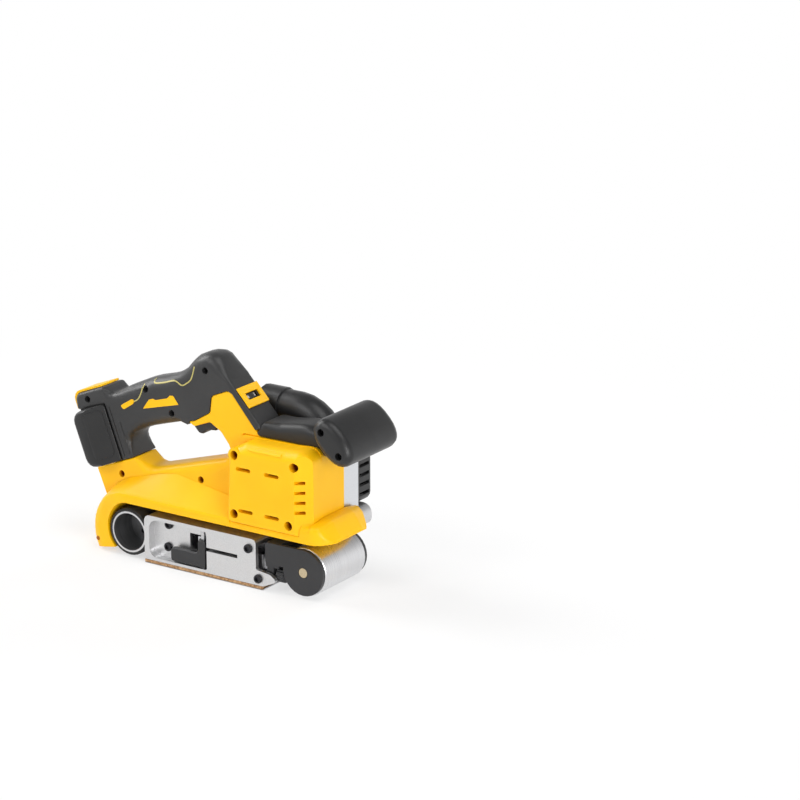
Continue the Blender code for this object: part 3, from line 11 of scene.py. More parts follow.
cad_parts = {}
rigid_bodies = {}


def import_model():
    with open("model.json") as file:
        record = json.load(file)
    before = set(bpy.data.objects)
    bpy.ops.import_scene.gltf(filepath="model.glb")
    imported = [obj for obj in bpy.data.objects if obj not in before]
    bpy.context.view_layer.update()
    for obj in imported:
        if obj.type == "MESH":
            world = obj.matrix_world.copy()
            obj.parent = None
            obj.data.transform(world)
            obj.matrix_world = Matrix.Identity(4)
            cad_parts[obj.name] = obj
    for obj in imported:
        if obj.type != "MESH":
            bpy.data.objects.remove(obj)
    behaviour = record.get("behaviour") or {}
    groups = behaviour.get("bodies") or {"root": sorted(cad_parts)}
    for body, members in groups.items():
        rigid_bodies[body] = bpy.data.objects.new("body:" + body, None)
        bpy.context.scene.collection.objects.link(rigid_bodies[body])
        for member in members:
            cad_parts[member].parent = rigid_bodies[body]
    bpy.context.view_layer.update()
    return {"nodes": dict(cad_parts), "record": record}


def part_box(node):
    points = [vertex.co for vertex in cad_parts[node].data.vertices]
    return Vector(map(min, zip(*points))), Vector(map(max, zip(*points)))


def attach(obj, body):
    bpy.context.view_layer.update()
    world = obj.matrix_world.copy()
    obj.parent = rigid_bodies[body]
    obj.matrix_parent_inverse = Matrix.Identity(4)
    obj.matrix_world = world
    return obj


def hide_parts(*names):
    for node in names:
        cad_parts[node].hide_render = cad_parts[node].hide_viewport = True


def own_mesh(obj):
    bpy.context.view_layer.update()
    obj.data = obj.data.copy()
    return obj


for item in list(bpy.data.objects):
    bpy.data.objects.remove(item, do_unlink=True)
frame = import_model()
nodes = frame["nodes"]
MM = 0.001

# Places shared with the solids, in millimetres
GRIP_X = -75.4
GRIP_Z = 148.9
GRIP_TILT = math.radians(21)
SLOPE_S = 94.9
SLOPE_T = -17.3
DIAL_DEPTH = -9.4
DIAL_RADIUS = 11.0
REAR = -98.0
FRONT = 98.0
AXIS_Z = 24.4


def grip(s, t):
    """X and Z of a place on the handle, along and across the grip."""
    c = math.cos(GRIP_TILT)
    n = math.sin(GRIP_TILT)
    return (GRIP_X + s * c - t * n, GRIP_Z + s * n + t * c)


def slope(along, out):
    """X and Z of a place on the dial slope, along it and outwards."""
    s = SLOPE_S + along * 0.366 + out * 0.931
    t = SLOPE_T - along * 0.931 + out * 0.366
    return grip(s, t)


class Paint:
    """Material made of nodes that read the object's own coordinates."""

    def __init__(self, name, metallic=0.0, rough=0.5, specular=0.5):
        self.material = bpy.data.materials.new(name)
        self.material.use_nodes = True
        self.tree = self.material.node_tree
        self.shader = self.tree.nodes["Principled BSDF"]
        self.shader.inputs["Metallic"].default_value = metallic
        self.shader.inputs["Roughness"].default_value = rough
        self.shader.inputs["Specular IOR Level"].default_value = specular
        self.place = self.add("ShaderNodeTexCoord").outputs["Object"]
        self.normal = None

    def add(self, kind, **values):
        """New node with settings and socket values or links."""
        node = self.tree.nodes.new(kind)
        for key, value in values.items():
            if key in node.inputs:
                self.put(node.inputs[key], value)
            else:
                setattr(node, key, value)
        return node

    def put(self, socket, value):
        """Link or set one socket."""
        if isinstance(value, bpy.types.NodeSocket):
            self.tree.links.new(value, socket)
        else:
            socket.default_value = value

    def math(self, operation, first, second=0.0):
        """One sum of two values."""
        node = self.add("ShaderNodeMath", operation=operation)
        self.put(node.inputs[0], first)
        self.put(node.inputs[1], second)
        return node.outputs[0]

    def stretched(self, x, y, z):
        """Coordinates scaled on each axis."""
        node = self.add("ShaderNodeMapping", Vector=self.place)
        node.inputs["Scale"].default_value = (x, y, z)
        return node.outputs["Vector"]

    def noise(self, scale, detail=3.0, place=None):
        """Cloud pattern with cells of about one over scale metres."""
        place = place or self.place
        return self.add("ShaderNodeTexNoise", Vector=place, Scale=scale, Detail=detail).outputs["Fac"]

    def cells(self, scale, feature="F1"):
        """Cell pattern."""
        return self.add("ShaderNodeTexVoronoi", Vector=self.place, Scale=scale, feature=feature)

    def ramp(self, value, stops):
        """Value turned into colour by stops of (place, colour)."""
        node = self.add("ShaderNodeValToRGB", Fac=value)
        band = node.color_ramp
        while len(band.elements) < len(stops):
            band.elements.new(0.5)
        for element, (place, colour) in zip(band.elements, stops):
            element.position = place
            element.color = (*colour, 1.0)
        return node.outputs["Color"]

    def spread(self, value, low, high):
        """Value from 0 to 1 spread between two numbers."""
        node = self.add("ShaderNodeMapRange", Value=value)
        node.inputs["To Min"].default_value = low
        node.inputs["To Max"].default_value = high
        return node.outputs["Result"]

    def mix(self, factor, first, second):
        """Two colours mixed."""
        node = self.add("ShaderNodeMix", data_type="RGBA")
        self.put(node.inputs[0], factor)
        self.put(node.inputs[6], first)
        self.put(node.inputs[7], second)
        return node.outputs[2]

    def bump(self, height, strength, depth):
        """Relief laid over what is already there, depth in metres."""
        node = self.add("ShaderNodeBump", Height=height, Strength=strength, Distance=depth)
        if self.normal:
            self.put(node.inputs["Normal"], self.normal)
        self.normal = node.outputs["Normal"]
        self.put(self.shader.inputs["Normal"], self.normal)

    def wells(self, places, radius, shallow, deep):
        """Share of painted shade that grows from 0 to 1 down holes along Y, all in millimetres."""
        flat = self.add("ShaderNodeVectorMath", operation="MULTIPLY")
        self.put(flat.inputs[0], self.place)
        flat.inputs[1].default_value = (1.0, 0.0, 1.0)
        inside = 0.0
        for x, z in places:
            gap = self.add("ShaderNodeVectorMath", operation="DISTANCE")
            self.put(gap.inputs[0], flat.outputs["Vector"])
            gap.inputs[1].default_value = (x * MM, 0.0, z * MM)
            hit = self.math("LESS_THAN", gap.outputs["Value"], radius * MM)
            inside = self.math("MAXIMUM", inside, hit)
        across = self.add("ShaderNodeSeparateXYZ", Vector=self.place).outputs["Y"]
        down = self.add("ShaderNodeMapRange", Value=across)
        down.inputs["From Min"].default_value = shallow * MM
        down.inputs["From Max"].default_value = deep * MM
        return self.math("MULTIPLY", inside, down.outputs["Result"])

    def colour(self, value):
        """Base colour."""
        self.put(self.shader.inputs["Base Color"], value)

    def rough(self, value):
        """Roughness."""
        self.put(self.shader.inputs["Roughness"], value)


def moulded(name, light, dark, rough, grain, depth, specular=0.5, holes=None):
    """Moulded plastic: cloudy tone, spark-eroded grain, uneven gloss, painted shade in dark amber down any holes."""
    paint = Paint(name, rough=rough, specular=specular)
    cloud = paint.noise(28.0, 4.0)
    tone = paint.ramp(cloud, [(0.3, dark), (0.7, light)])
    # Painted shade: dark amber mixed in down the given holes
    if holes:
        tone = paint.mix(paint.wells(*holes), tone, HOLE_SHADE_COLOUR)
    paint.colour(tone)
    paint.rough(paint.spread(paint.noise(90.0, 5.0), rough - 0.07, rough + 0.07))
    paint.bump(paint.noise(grain, 2.0), 0.5, depth)
    return paint.material


def metal(name, light, dark, rough, grain, depth, stretch=(1, 1, 1)):
    """Bare metal with a drawn or blasted grain."""
    paint = Paint(name, metallic=1.0, rough=rough)
    lines = paint.noise(grain, 3.0, paint.stretched(*stretch))
    paint.colour(paint.ramp(lines, [(0.3, dark), (0.7, light)]))
    paint.rough(paint.spread(lines, rough - 0.08, rough + 0.08))
    paint.bump(lines, 0.35, depth)
    return paint.material


def turned_metal(name, light, dark, rough):
    """Turned roller: fine lines round the axis across the tool."""
    paint = Paint(name, metallic=1.0, rough=rough)
    lines = paint.noise(1.0, 4.0, paint.stretched(9, 2600, 9))
    paint.colour(paint.ramp(lines, [(0.25, dark), (0.75, light)]))
    paint.rough(paint.spread(lines, rough - 0.07, rough + 0.1))
    paint.bump(lines, 0.3, 0.00003)
    return paint.material


def hollow_roller():
    """Drive roller core: bright rim, darker inside the bore."""
    paint = Paint("roller_core", metallic=1.0, rough=0.35)
    split = paint.add("ShaderNodeSeparateXYZ", Vector=paint.place)
    across = paint.math("SUBTRACT", split.outputs["X"], REAR * MM)
    up = paint.math("SUBTRACT", split.outputs["Z"], AXIS_Z * MM)
    reach = paint.math("SQRT", paint.math("ADD", paint.math("MULTIPLY", across, across), paint.math("MULTIPLY", up, up)))
    inside = paint.math("LESS_THAN", reach, 0.0179)
    lines = paint.noise(1.0, 4.0, paint.stretched(30, 1500, 30))
    bright = paint.ramp(lines, [(0.3, (0.55, 0.55, 0.56)), (0.7, (0.72, 0.72, 0.73))])
    dark = paint.ramp(lines, [(0.3, (0.17, 0.17, 0.175)), (0.7, (0.27, 0.27, 0.275))])
    paint.colour(paint.mix(inside, bright, dark))
    paint.rough(paint.spread(inside, 0.3, 0.55))
    paint.bump(lines, 0.3, 0.00004)
    return paint.material


def rubber():
    """Black rubber with a dull, slightly dusty skin."""
    paint = Paint("rubber", rough=0.82)
    paint.colour(paint.ramp(paint.noise(160.0, 6.0), [(0.3, (0.011, 0.011, 0.011)), (0.75, (0.03, 0.03, 0.029))]))
    paint.rough(paint.spread(paint.noise(700.0), 0.7, 0.92))
    paint.bump(paint.noise(2600.0, 3.0), 0.6, 0.00012)
    return paint.material


def cork():
    """Pressed cork: tan granules with dark specks."""
    paint = Paint("cork", rough=0.88)
    granules = paint.cells(620.0)
    tone = paint.add("ShaderNodeSeparateColor", Color=granules.outputs["Color"]).outputs[0]
    tan = paint.ramp(tone, [(0.0, (0.30, 0.155, 0.065)), (0.5, (0.43, 0.245, 0.115)), (1.0, (0.56, 0.35, 0.18))])
    specks = paint.math("GREATER_THAN", paint.noise(900.0, 4.0), 0.63)
    paint.colour(paint.mix(specks, tan, (0.12, 0.055, 0.025, 1)))
    paint.bump(granules.outputs["Distance"], 0.7, 0.0003)
    return paint.material


def terminals():
    """Terminal block: dark plastic with bright contact blades."""
    paint = Paint("terminals", rough=0.5)
    split = paint.add("ShaderNodeSeparateXYZ", Vector=paint.place)
    along = paint.math("MULTIPLY", split.outputs["X"], math.cos(GRIP_TILT))
    along = paint.math("ADD", along, paint.math("MULTIPLY", split.outputs["Z"], math.sin(GRIP_TILT)))
    shoulder = (GRIP_X * math.cos(GRIP_TILT) + GRIP_Z * math.sin(GRIP_TILT) - 79.15) * MM
    blade = paint.math("LESS_THAN", along, shoulder)
    grain = paint.noise(1500.0)
    plastic = paint.ramp(grain, [(0.3, (0.02, 0.02, 0.022)), (0.7, (0.035, 0.035, 0.037))])
    brass = paint.ramp(grain, [(0.3, (0.62, 0.47, 0.24)), (0.7, (0.74, 0.58, 0.32))])
    paint.colour(paint.mix(blade, plastic, brass))
    paint.put(paint.shader.inputs["Metallic"], blade)
    paint.bump(grain, 0.3, 0.00005)
    return paint.material


# Dark amber of the painted shade down the screw holes of the yellow housing
HOLE_SHADE_COLOUR = (0.32, 0.05, 0.002, 1.0)
YELLOW_LOOK = ((1.0, 0.545, 0.003), (0.95, 0.505, 0.002), 0.38, 2600.0, 0.00006, 0.25)
block_holes = []
for number in (1, 2, 3, 4):
    low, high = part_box(f"motor_screw_{number}")
    block_holes.append(((low.x + high.x) / 2 / MM, (low.z + high.z) / 2 / MM))
block_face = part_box("motor_housing")[0].y / MM
NECK_HOLES = [(-27.5, 83.0), (-119.0, 72.0)]
YELLOW = moulded("yellow_plastic", *YELLOW_LOOK)
# Block and neck yellows carry painted shade down their screw holes
BLOCK_YELLOW = moulded("block_yellow", *YELLOW_LOOK, (block_holes, 4.5, block_face + 1.5, block_face + 7.5))
NECK_YELLOW = moulded("neck_yellow", *YELLOW_LOOK, (NECK_HOLES, 3.5, -17.0, -12.0))
BLACK = moulded("black_overmould", (0.009, 0.009, 0.0095), (0.005, 0.005, 0.0055), 0.40, 3400.0, 0.00010)
GRIP = moulded("soft_grip", (0.021, 0.021, 0.0215), (0.014, 0.014, 0.0145), 0.42, 2400.0, 0.00014)
GREY = moulded("dark_grey_plastic", (0.020, 0.020, 0.022), (0.013, 0.013, 0.0145), 0.42, 2900.0, 0.00008)
# Painted shade: dark amber standing in for the shaded recess of a screw
RECESS_SHADE = moulded("painted_recess_shade", (0.42, 0.14, 0.004), (0.30, 0.09, 0.003), 0.45, 2600.0, 0.00006, 0.3)
PALE = moulded("pale_line", (0.54, 0.47, 0.16), (0.47, 0.41, 0.13), 0.42, 2600.0, 0.00004, 0.3)
WHITE = moulded("white_print", (0.86, 0.86, 0.85), (0.78, 0.78, 0.77), 0.5, 2000.0, 0.00003)
CAST = metal("cast_aluminium", (0.72, 0.72, 0.725), (0.58, 0.58, 0.585), 0.40, 1500.0, 0.00012)
CASE = metal("gear_case_alloy", (0.76, 0.77, 0.79), (0.66, 0.675, 0.70), 0.36, 1700.0, 0.00008)
STEEL = metal("bright_steel", (0.62, 0.62, 0.63), (0.46, 0.46, 0.48), 0.3, 900.0, 0.00005, (0.05, 1, 1))
for paint, weight in ((BLACK, 0.05), (GREY, 0.05), (GRIP, 0.12)):
    velvet = paint.node_tree.nodes["Principled BSDF"].inputs
    velvet["Sheen Weight"].default_value = weight
    velvet["Sheen Roughness"].default_value = 0.45
OXIDE = metal("black_steel", (0.06, 0.06, 0.065), (0.03, 0.03, 0.033), 0.42, 1800.0, 0.00006)
BRASS = metal("brass", (0.66, 0.55, 0.36), (0.5, 0.41, 0.27), 0.38, 1600.0, 0.00006)
TURNED = turned_metal("turned_roller", (0.80, 0.80, 0.81), (0.62, 0.62, 0.635), 0.28)
CORE = hollow_roller()
RUBBER = rubber()
CORK = cork()
TERMINALS = terminals()

SLOT_PAINT = {
    "yellow_plastic": YELLOW,
    "black_plastic": BLACK,
    "dark_grey_plastic": GREY,
    "cast_aluminium": CAST,
    "bright_steel": STEEL,
    "black_steel": OXIDE,
    "black_rubber": RUBBER,
    "cork": CORK,
    "brass": BRASS,
}
NODE_PAINT = {
    "idler_roller": TURNED,
    "drive_roller": CORE,
    "terminal_block": TERMINALS,
    "tracking_knob": GREY,
    "gear_case": CASE,
    "battery_mount": BLACK,
    "motor_housing": BLOCK_YELLOW,
    "housing_right": NECK_YELLOW,
    "handle_right": GRIP,
    "handle_left": GRIP,
}


def smooth_group(limit):
    """Geometry nodes that shade smooth except across edges sharper than limit."""
    group = bpy.data.node_groups.new("smooth_by_angle", "GeometryNodeTree")
    group.interface.new_socket("Geometry", in_out="INPUT", socket_type="NodeSocketGeometry")
    group.interface.new_socket("Geometry", in_out="OUTPUT", socket_type="NodeSocketGeometry")
    start = group.nodes.new("NodeGroupInput")
    end = group.nodes.new("NodeGroupOutput")
    faces = group.nodes.new("GeometryNodeSetShadeSmooth")
    edges = group.nodes.new("GeometryNodeSetShadeSmooth")
    edges.domain = "EDGE"
    angle = group.nodes.new("GeometryNodeInputMeshEdgeAngle")
    sharp = group.nodes.new("FunctionNodeCompare")
    sharp.operation = "GREATER_THAN"
    sharp.inputs[1].default_value = limit
    edges.inputs["Shade Smooth"].default_value = False
    group.links.new(angle.outputs["Unsigned Angle"], sharp.inputs[0])
    group.links.new(start.outputs[0], faces.inputs["Geometry"])
    group.links.new(faces.outputs[0], edges.inputs["Geometry"])
    group.links.new(sharp.outputs[0], edges.inputs["Selection"])
    group.links.new(edges.outputs[0], end.inputs[0])
    return group


SMOOTH = smooth_group(math.radians(38))


def polish(item, edge):
    """Small rounded edges and clean shading, as modifiers."""
    normals = item.data.attributes.get("custom_normal")
    if normals:
        item.data.attributes.remove(normals)
    weld = item.modifiers.new("weld", "WELD")
    weld.merge_threshold = 0.00012
    flat = item.modifiers.new("flat", "DECIMATE")
    flat.decimate_type = "DISSOLVE"
    flat.angle_limit = math.radians(0.4)
    if edge:
        bevel = item.modifiers.new("bevel", "BEVEL")
        bevel.width = edge * MM
        bevel.segments = 2
        bevel.limit_method = "ANGLE"
        bevel.angle_limit = math.radians(38)
        bevel.miter_outer = "MITER_ARC"
    item.modifiers.new("smooth", "NODES").node_group = SMOOTH
    even = item.modifiers.new("even", "WEIGHTED_NORMAL")
    even.keep_sharp = True
    even.mode = "FACE_AREA_WITH_ANGLE"


EDGES = {
    "base_frame": 0.5,
    "motor_housing": 0.5,
    "battery_mount": 0.6,
    "drive_cover": 0.4,
    "idler_yoke": 0.6,
    "tension_lever": 0.3,
    "cap_trim": 0.3,
    "speed_panel": 0.25,
    "belt_hood": 0.8,
    "drive_roller": 0.3,
    "gear_case": 0.4,
    "idler_axle": 0.6,
}
for part in frame["record"]["subparts"]:
    item = nodes[part["node"]]
    paint = NODE_PAINT.get(item.name, SLOT_PAINT[part["material_slot"]])
    item.data.materials.clear()
    item.data.materials.append(paint)
    polish(item, EDGES.get(item.name, 0.2))


def piece(name, mesh, paint, body="body", replaced=None, edge=0.0):
    """Mesh in metres as a finished piece on a body."""
    data = bpy.data.meshes.new(name)
    bmesh.ops.recalc_face_normals(mesh, faces=mesh.faces)
    mesh.to_mesh(data)
    mesh.free()
    item = bpy.data.objects.new(name, data)
    bpy.context.scene.collection.objects.link(item)
    data.materials.append(paint)
    polish(item, edge)
    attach(item, body)
    if replaced:
        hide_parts(replaced)
    return item


def skin(rings, closed_ends=True, around=True):
    """Mesh through rings of points in millimetres."""
    mesh = bmesh.new()
    rows = [[mesh.verts.new(Vector(p) * MM) for p in ring] for ring in rings]
    count = len(rows[0])
    for low, high in zip(rows, rows[1:]):
        for k in range(count if around else count - 1):
            m = (k + 1) % count
            mesh.faces.new((low[k], low[m], high[m], high[k]))
    if closed_ends:
        mesh.faces.new(rows[0][::-1])
        mesh.faces.new(rows[-1])
    return mesh


def surface(*names):
    """Ray test against some of the solids."""
    points = []
    faces = []
    for name in names:
        start = len(points)
        data = nodes[name].data
        points += [v.co.copy() for v in data.vertices]
        faces += [[start + i for i in p.vertices] for p in data.polygons]
    return BVHTree.FromPolygons(points, faces)


def laid(tree, x, z, side, lift):
    """Point on a side of the solids over X and Z, lifted along the surface's own normal."""
    start = Vector((x * MM, side * 0.1, z * MM))
    place, normal, index, reach = tree.ray_cast(start, Vector((0, -side, 0)))
    if place is None:
        return None
    if normal.y * side < 0:
        normal = -normal
    return (place + normal * lift * MM) / MM


def smooth_path(points, steps=8):
    """Points along a Catmull-Rom curve through the given places."""
    path = []
    ends = [points[0]] + list(points) + [points[-1]]
    for a, b, c, d in zip(ends, ends[1:], ends[2:], ends[3:]):
        for k in range(steps):
            f = k / steps
            row = []
            for i in (0, 1):
                bend = (2 * a[i] - 5 * b[i] + 4 * c[i] - d[i]) * f * f
                twist = (3 * b[i] - a[i] - 3 * c[i] + d[i]) * f ** 3
                row.append(0.5 * (2 * b[i] + (c[i] - a[i]) * f + bend + twist))
            path.append(Vector(row))
    path.append(Vector(points[-1]))
    return path


def stripe(name, tree, places, width, side, paint, height=0.25):
    """Raised line on the side of the handle along places given on the grip."""
    path = smooth_path([grip(s, t) for s, t in places])
    rings = []
    for k, point in enumerate(path):
        ahead = (path[min(k + 1, len(path) - 1)] - path[max(k - 1, 0)]).normalized()
        across = Vector((-ahead.y, ahead.x)) * width / 2
        row = []
        for share, lift in ((-1, -0.4), (-1, height * 0.6), (-0.6, height), (0.6, height), (1, height * 0.6), (1, -0.4)):
            spot = point + across * share
            row.append(laid(tree, spot.x, spot.y, side, lift))
        if None not in row:
            rings.append(row)
    return piece(name, skin(rings), paint)


def plaque(name, tree, lows, highs, side, paint, height=0.35, steps=3):
    """Thin raised plate on the side of the handle, between a lower and an upper edge on the grip."""
    lows = [Vector(grip(*place)) for place in lows]
    highs = [Vector(grip(*place)) for place in highs]
    pairs = []
    for a, b, c, d in zip(lows, lows[1:], highs, highs[1:]):
        for k in range(steps):
            pairs.append((a.lerp(b, k / steps), c.lerp(d, k / steps)))
    pairs.append((lows[-1], highs[-1]))
    rings = []
    for low, high in pairs:
        row = [laid(tree, low.x, low.y, side, -0.4)]
        for j in range(7):
            spot = low.lerp(high, j / 6)
            row.append(laid(tree, spot.x, spot.y, side, height))
        row.append(laid(tree, high.x, high.y, side, -0.4))
        rings.append(row)
    return piece(name, skin(rings), paint, edge=0.12)


def screw(name, place, radius, height, paint, replaced=None, body="body", floor=0.3):
    """Pan head with a six-lobed socket, facing the right side of the tool."""
    x, y, z = place
    sides = 36

    def ring(depth, size, lobes=0.0):
        row = []
        for k in range(sides):
            turn = 2 * math.pi * k / sides
            reach = size * (1 + lobes * math.cos(6 * turn))
            row.append((x + reach * math.cos(turn), y - depth, z + reach * math.sin(turn)))
        return row

    rings = [
        ring(-floor, radius * 0.6),
        ring(0, radius),
        ring(height * 0.55, radius),
        ring(height * 0.85, radius * 0.9),
        ring(height, radius * 0.66),
        ring(height, radius * 0.5, 0.16),
        ring(height * 0.35, radius * 0.47, 0.16),
    ]
    return piece(name, skin(rings), paint, body, replaced)


handle_tree = surface("handle_right", "handle_left")
UPPER_LINE = [(1.2, 20.4), (2.0, 16.9), (13.3, 15.1), (26.6, 14.2), (34.0, 8.9), (40.0, 9.2), (47.7, 12.5), (54.1, 22.0)]
LOWER_LINE = [(-10.8, 18.4), (-13.6, 14.3), (-16.0, 10.6), (-20.6, 6.8), (-26.0, 5.6)]
BAR_LOW = [(-42.6, 3.6), (-41.8, 2.0), (-40.2, 1.1), (-33.0, 2.7), (-28.0, 3.8), (-26.4, 5.4)]
BAR_HIGH = [(-42.8, 4.3), (-42.5, 5.2), (-41.6, 5.6), (-33.6, 7.2), (-28.2, 8.2), (-26.2, 7.4)]
BADGE_LOW = [(-18.1, -2.8), (-14.0, -3.3), (-8.6, -3.9), (-4.0, -4.4), (-1.0, -4.7), (12.6, -6.3), (17.0, -6.8), (20.6, -7.2), (23.6, -7.5)]
BADGE_HIGH = [(-17.2, -2.0), (-12.4, 1.2), (-8.1, 3.8), (-3.6, 3.7), (-0.6, 1.8), (13.0, 0.7), (17.2, 2.5), (20.6, 1.6), (23.2, -6.2)]
RIDGE_REAR = [(-58.8, 6.5), (-58.8, -17.0), (-58.8, -41.0)]
RIDGE_FRONT = [(-51.2, -9.0), (-51.6, -25.0), (-51.8, -40.0)]
PAD_LOW = [(-82.4, -33.0), (-81.4, -36.0), (-78.8, -37.6), (-69.0, -37.6), (-66.4, -36.4), (-65.2, -33.5)]
PAD_HIGH = [(-81.4, 2.5), (-80.4, 5.0), (-78.0, 6.4), (-69.0, 6.4), (-66.4, 5.2), (-65.2, 2.5)]
mount_tree = surface("battery_mount")
for side, word in ((-1, "right"), (1, "left")):
    stripe(f"upper_line_{word}", handle_tree, UPPER_LINE, 1.15, side, PALE)
    stripe(f"lower_line_{word}", handle_tree, LOWER_LINE, 1.15, side, PALE)
    plaque(f"grip_bar_{word}", handle_tree, BAR_LOW, BAR_HIGH, side, YELLOW)
    stripe(f"rear_ridge_{word}", handle_tree, RIDGE_REAR, 2.6, side, GRIP, 0.9)
    stripe(f"front_ridge_{word}", handle_tree, RIDGE_FRONT, 2.4, side, GRIP, 0.7)
    plaque(f"mount_pad_{word}", mount_tree, PAD_LOW, PAD_HIGH, side, BLACK, 0.9)
plaque("grip_badge", handle_tree, BADGE_LOW, BADGE_HIGH, -1, YELLOW)



def seam(name, right, left, paint):
    """Lip that fills the joint between two halves, from the joint face of the right half."""
    data = nodes[right].data
    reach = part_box(right)[1].y
    mesh = bmesh.new()
    points = {}
    for face in data.polygons:
        if face.normal.y > 0.99 and abs(face.center.y - reach) < 0.00001:
            row = []
            for i in face.vertices:
                if i not in points:
                    points[i] = mesh.verts.new(data.vertices[i].co)
                row.append(points[i])
            mesh.faces.new(row)
    grown = bmesh.ops.extrude_face_region(mesh, geom=mesh.faces[:])
    for corner in grown["geom"]:
        if isinstance(corner, bmesh.types.BMVert):
            corner.co.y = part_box(left)[0].y
    return piece(name, mesh, paint)


seam("handle_seam", "handle_right", "handle_left", GRIP)
seam("knob_seam", "front_handle_right", "front_handle_left", BLACK)
seam("housing_seam", "housing_right", "housing_left", YELLOW)

# Sealing lip between the cap of the handle and the battery mount
SEAL_WIDTH = 16.4
SEAL_S = (-95.0, -63.0)
SEAL_ROUND = 4.0
seal_rings = []
for t, inset in ((4.6, 1.0), (5.4, 0.3), (9.0, 0.0), (12.8, 0.3), (13.6, 1.0)):
    row = []
    for corner_s, corner_y, first in ((SEAL_S[1], 1, 0), (SEAL_S[0], 1, 90), (SEAL_S[0], -1, 180), (SEAL_S[1], -1, 270)):
        inward = -SEAL_ROUND if corner_s == SEAL_S[1] else SEAL_ROUND
        for k in range(7):
            turn = math.radians(first + 15 * k)
            s = corner_s + inward + (SEAL_ROUND - inset) * math.cos(turn)
            y = corner_y * (SEAL_WIDTH - SEAL_ROUND) + (SEAL_ROUND - inset) * math.sin(turn)
            x, z = grip(s, t)
            row.append((x, y, z))
    seal_rings.append(row)
piece("cap_seal", skin(seal_rings), RUBBER)

# Gasket under the foot of the dust port, down to the drive cover
gasket_rings = []
for z, grow in ((126.1, -0.4), (126.5, 0.3), (128.0, 0.3), (128.5, -0.4)):
    turns = [math.radians(7.5 * k) for k in range(48)]
    gasket_rings.append([(78.2 + (16.3 + grow) * math.cos(a), 35.3 + (15.2 + grow) * math.sin(a), z) for a in turns])
piece("port_gasket", skin(gasket_rings), RUBBER)

# Screws of the two clamshells, at the floor of their holes
for number, (s, t) in enumerate(((-80, 18.5), (-9.5, 13.6), (12.5, -13.5), (65.5, 16)), start=1):
    x, z = grip(s, t)
    screw(f"handle_screw_{number}", (x, -11, z), 3.0, 2.2, OXIDE)
for number, (x, z) in enumerate(NECK_HOLES, start=1):
    screw(f"housing_screw_{number}", (x, -8, z), 3.0, 2.2, OXIDE)
# Rear hood screw in dark amber, the painted shade of its recess
screw("hood_screw", (-135.4, -33.3, 11.0), 2.1, 0.5, RECESS_SHADE)
for name in [n for n in nodes if "_screw_" in n]:
    low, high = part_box(name)
    middle = (low + high) / 2 / MM
    head = (high.x - low.x) / 2 / MM
    depth = (high.y - low.y) / MM
    if name.startswith("frame"):
        screw(f"{name}_head", (middle.x, low.y / MM + 2.4, middle.z), head, 2.4, OXIDE, name)
    else:
        screw(f"{name}_head", (middle.x, high.y / MM, middle.z), head, depth, OXIDE, name, floor=0.0)

# Thumbwheel with ribs and numbers
dial_axis = Vector((slope(1, 0)[0] - slope(0, 0)[0], 0, slope(1, 0)[1] - slope(0, 0)[1])).normalized()
dial_out = Vector((slope(0, 1)[0] - slope(0, 0)[0], 0, slope(0, 1)[1] - slope(0, 0)[1])).normalized()
dial_side = Vector((0, 1, 0))
dial_middle = Vector((slope(0, DIAL_DEPTH)[0], 0, slope(0, DIAL_DEPTH)[1]))
ribs = 40


def wheel_ring(along, radius, ribbed):
    """Ring of the thumbwheel at one place on its axis."""
    row = []
    for k in range(2 * ribs):
        turn = math.pi * k / ribs
        size = radius - (0.35 if ribbed and k % 2 else 0)
        arm = dial_out * math.cos(turn) + dial_side * math.sin(turn)
        row.append(dial_middle + dial_axis * along + arm * size)
    return row


WHEEL = [
    (-6.0, 2.0, False),
    (-2.8, 2.0, False),
    (-2.8, 9.6, False),
    (-2.4, 10.9, True),
    (-1.9, 11.0, True),
    (-1.8, 10.5, False),
    (1.8, 10.5, False),
    (1.9, 11.0, True),
    (2.4, 10.9, True),
    (2.8, 9.6, False),
    (2.8, 2.0, False),
    (6.0, 2.0, False),
]
wheel = skin([wheel_ring(*row) for row in WHEEL])
piece("dial_wheel", wheel, GREY, "speed_dial", "speed_dial")


def digit(number, turn):
    """Raised number on the rim of the thumbwheel."""
    text = bpy.data.curves.new(f"dial_number_{number}", "FONT")
    text.body = str(number)
    text.size = 4.4 * MM
    text.extrude = 0.22 * MM
    text.align_x = "CENTER"
    text.align_y = "CENTER"
    text.resolution_u = 4
    item = bpy.data.objects.new(f"dial_number_{number}", text)
    bpy.context.scene.collection.objects.link(item)
    out = dial_out * math.cos(turn) + dial_side * math.sin(turn)
    up = -dial_axis
    right = up.cross(out)
    place = Matrix((right, up, out)).transposed().to_4x4()
    place.translation = (dial_middle + out * 10.45) * MM
    item.matrix_world = place
    text.materials.append(WHITE)
    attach(item, "speed_dial")


for number in range(1, 8):
    digit(number, math.radians(14 + 45 * (number - 5)))

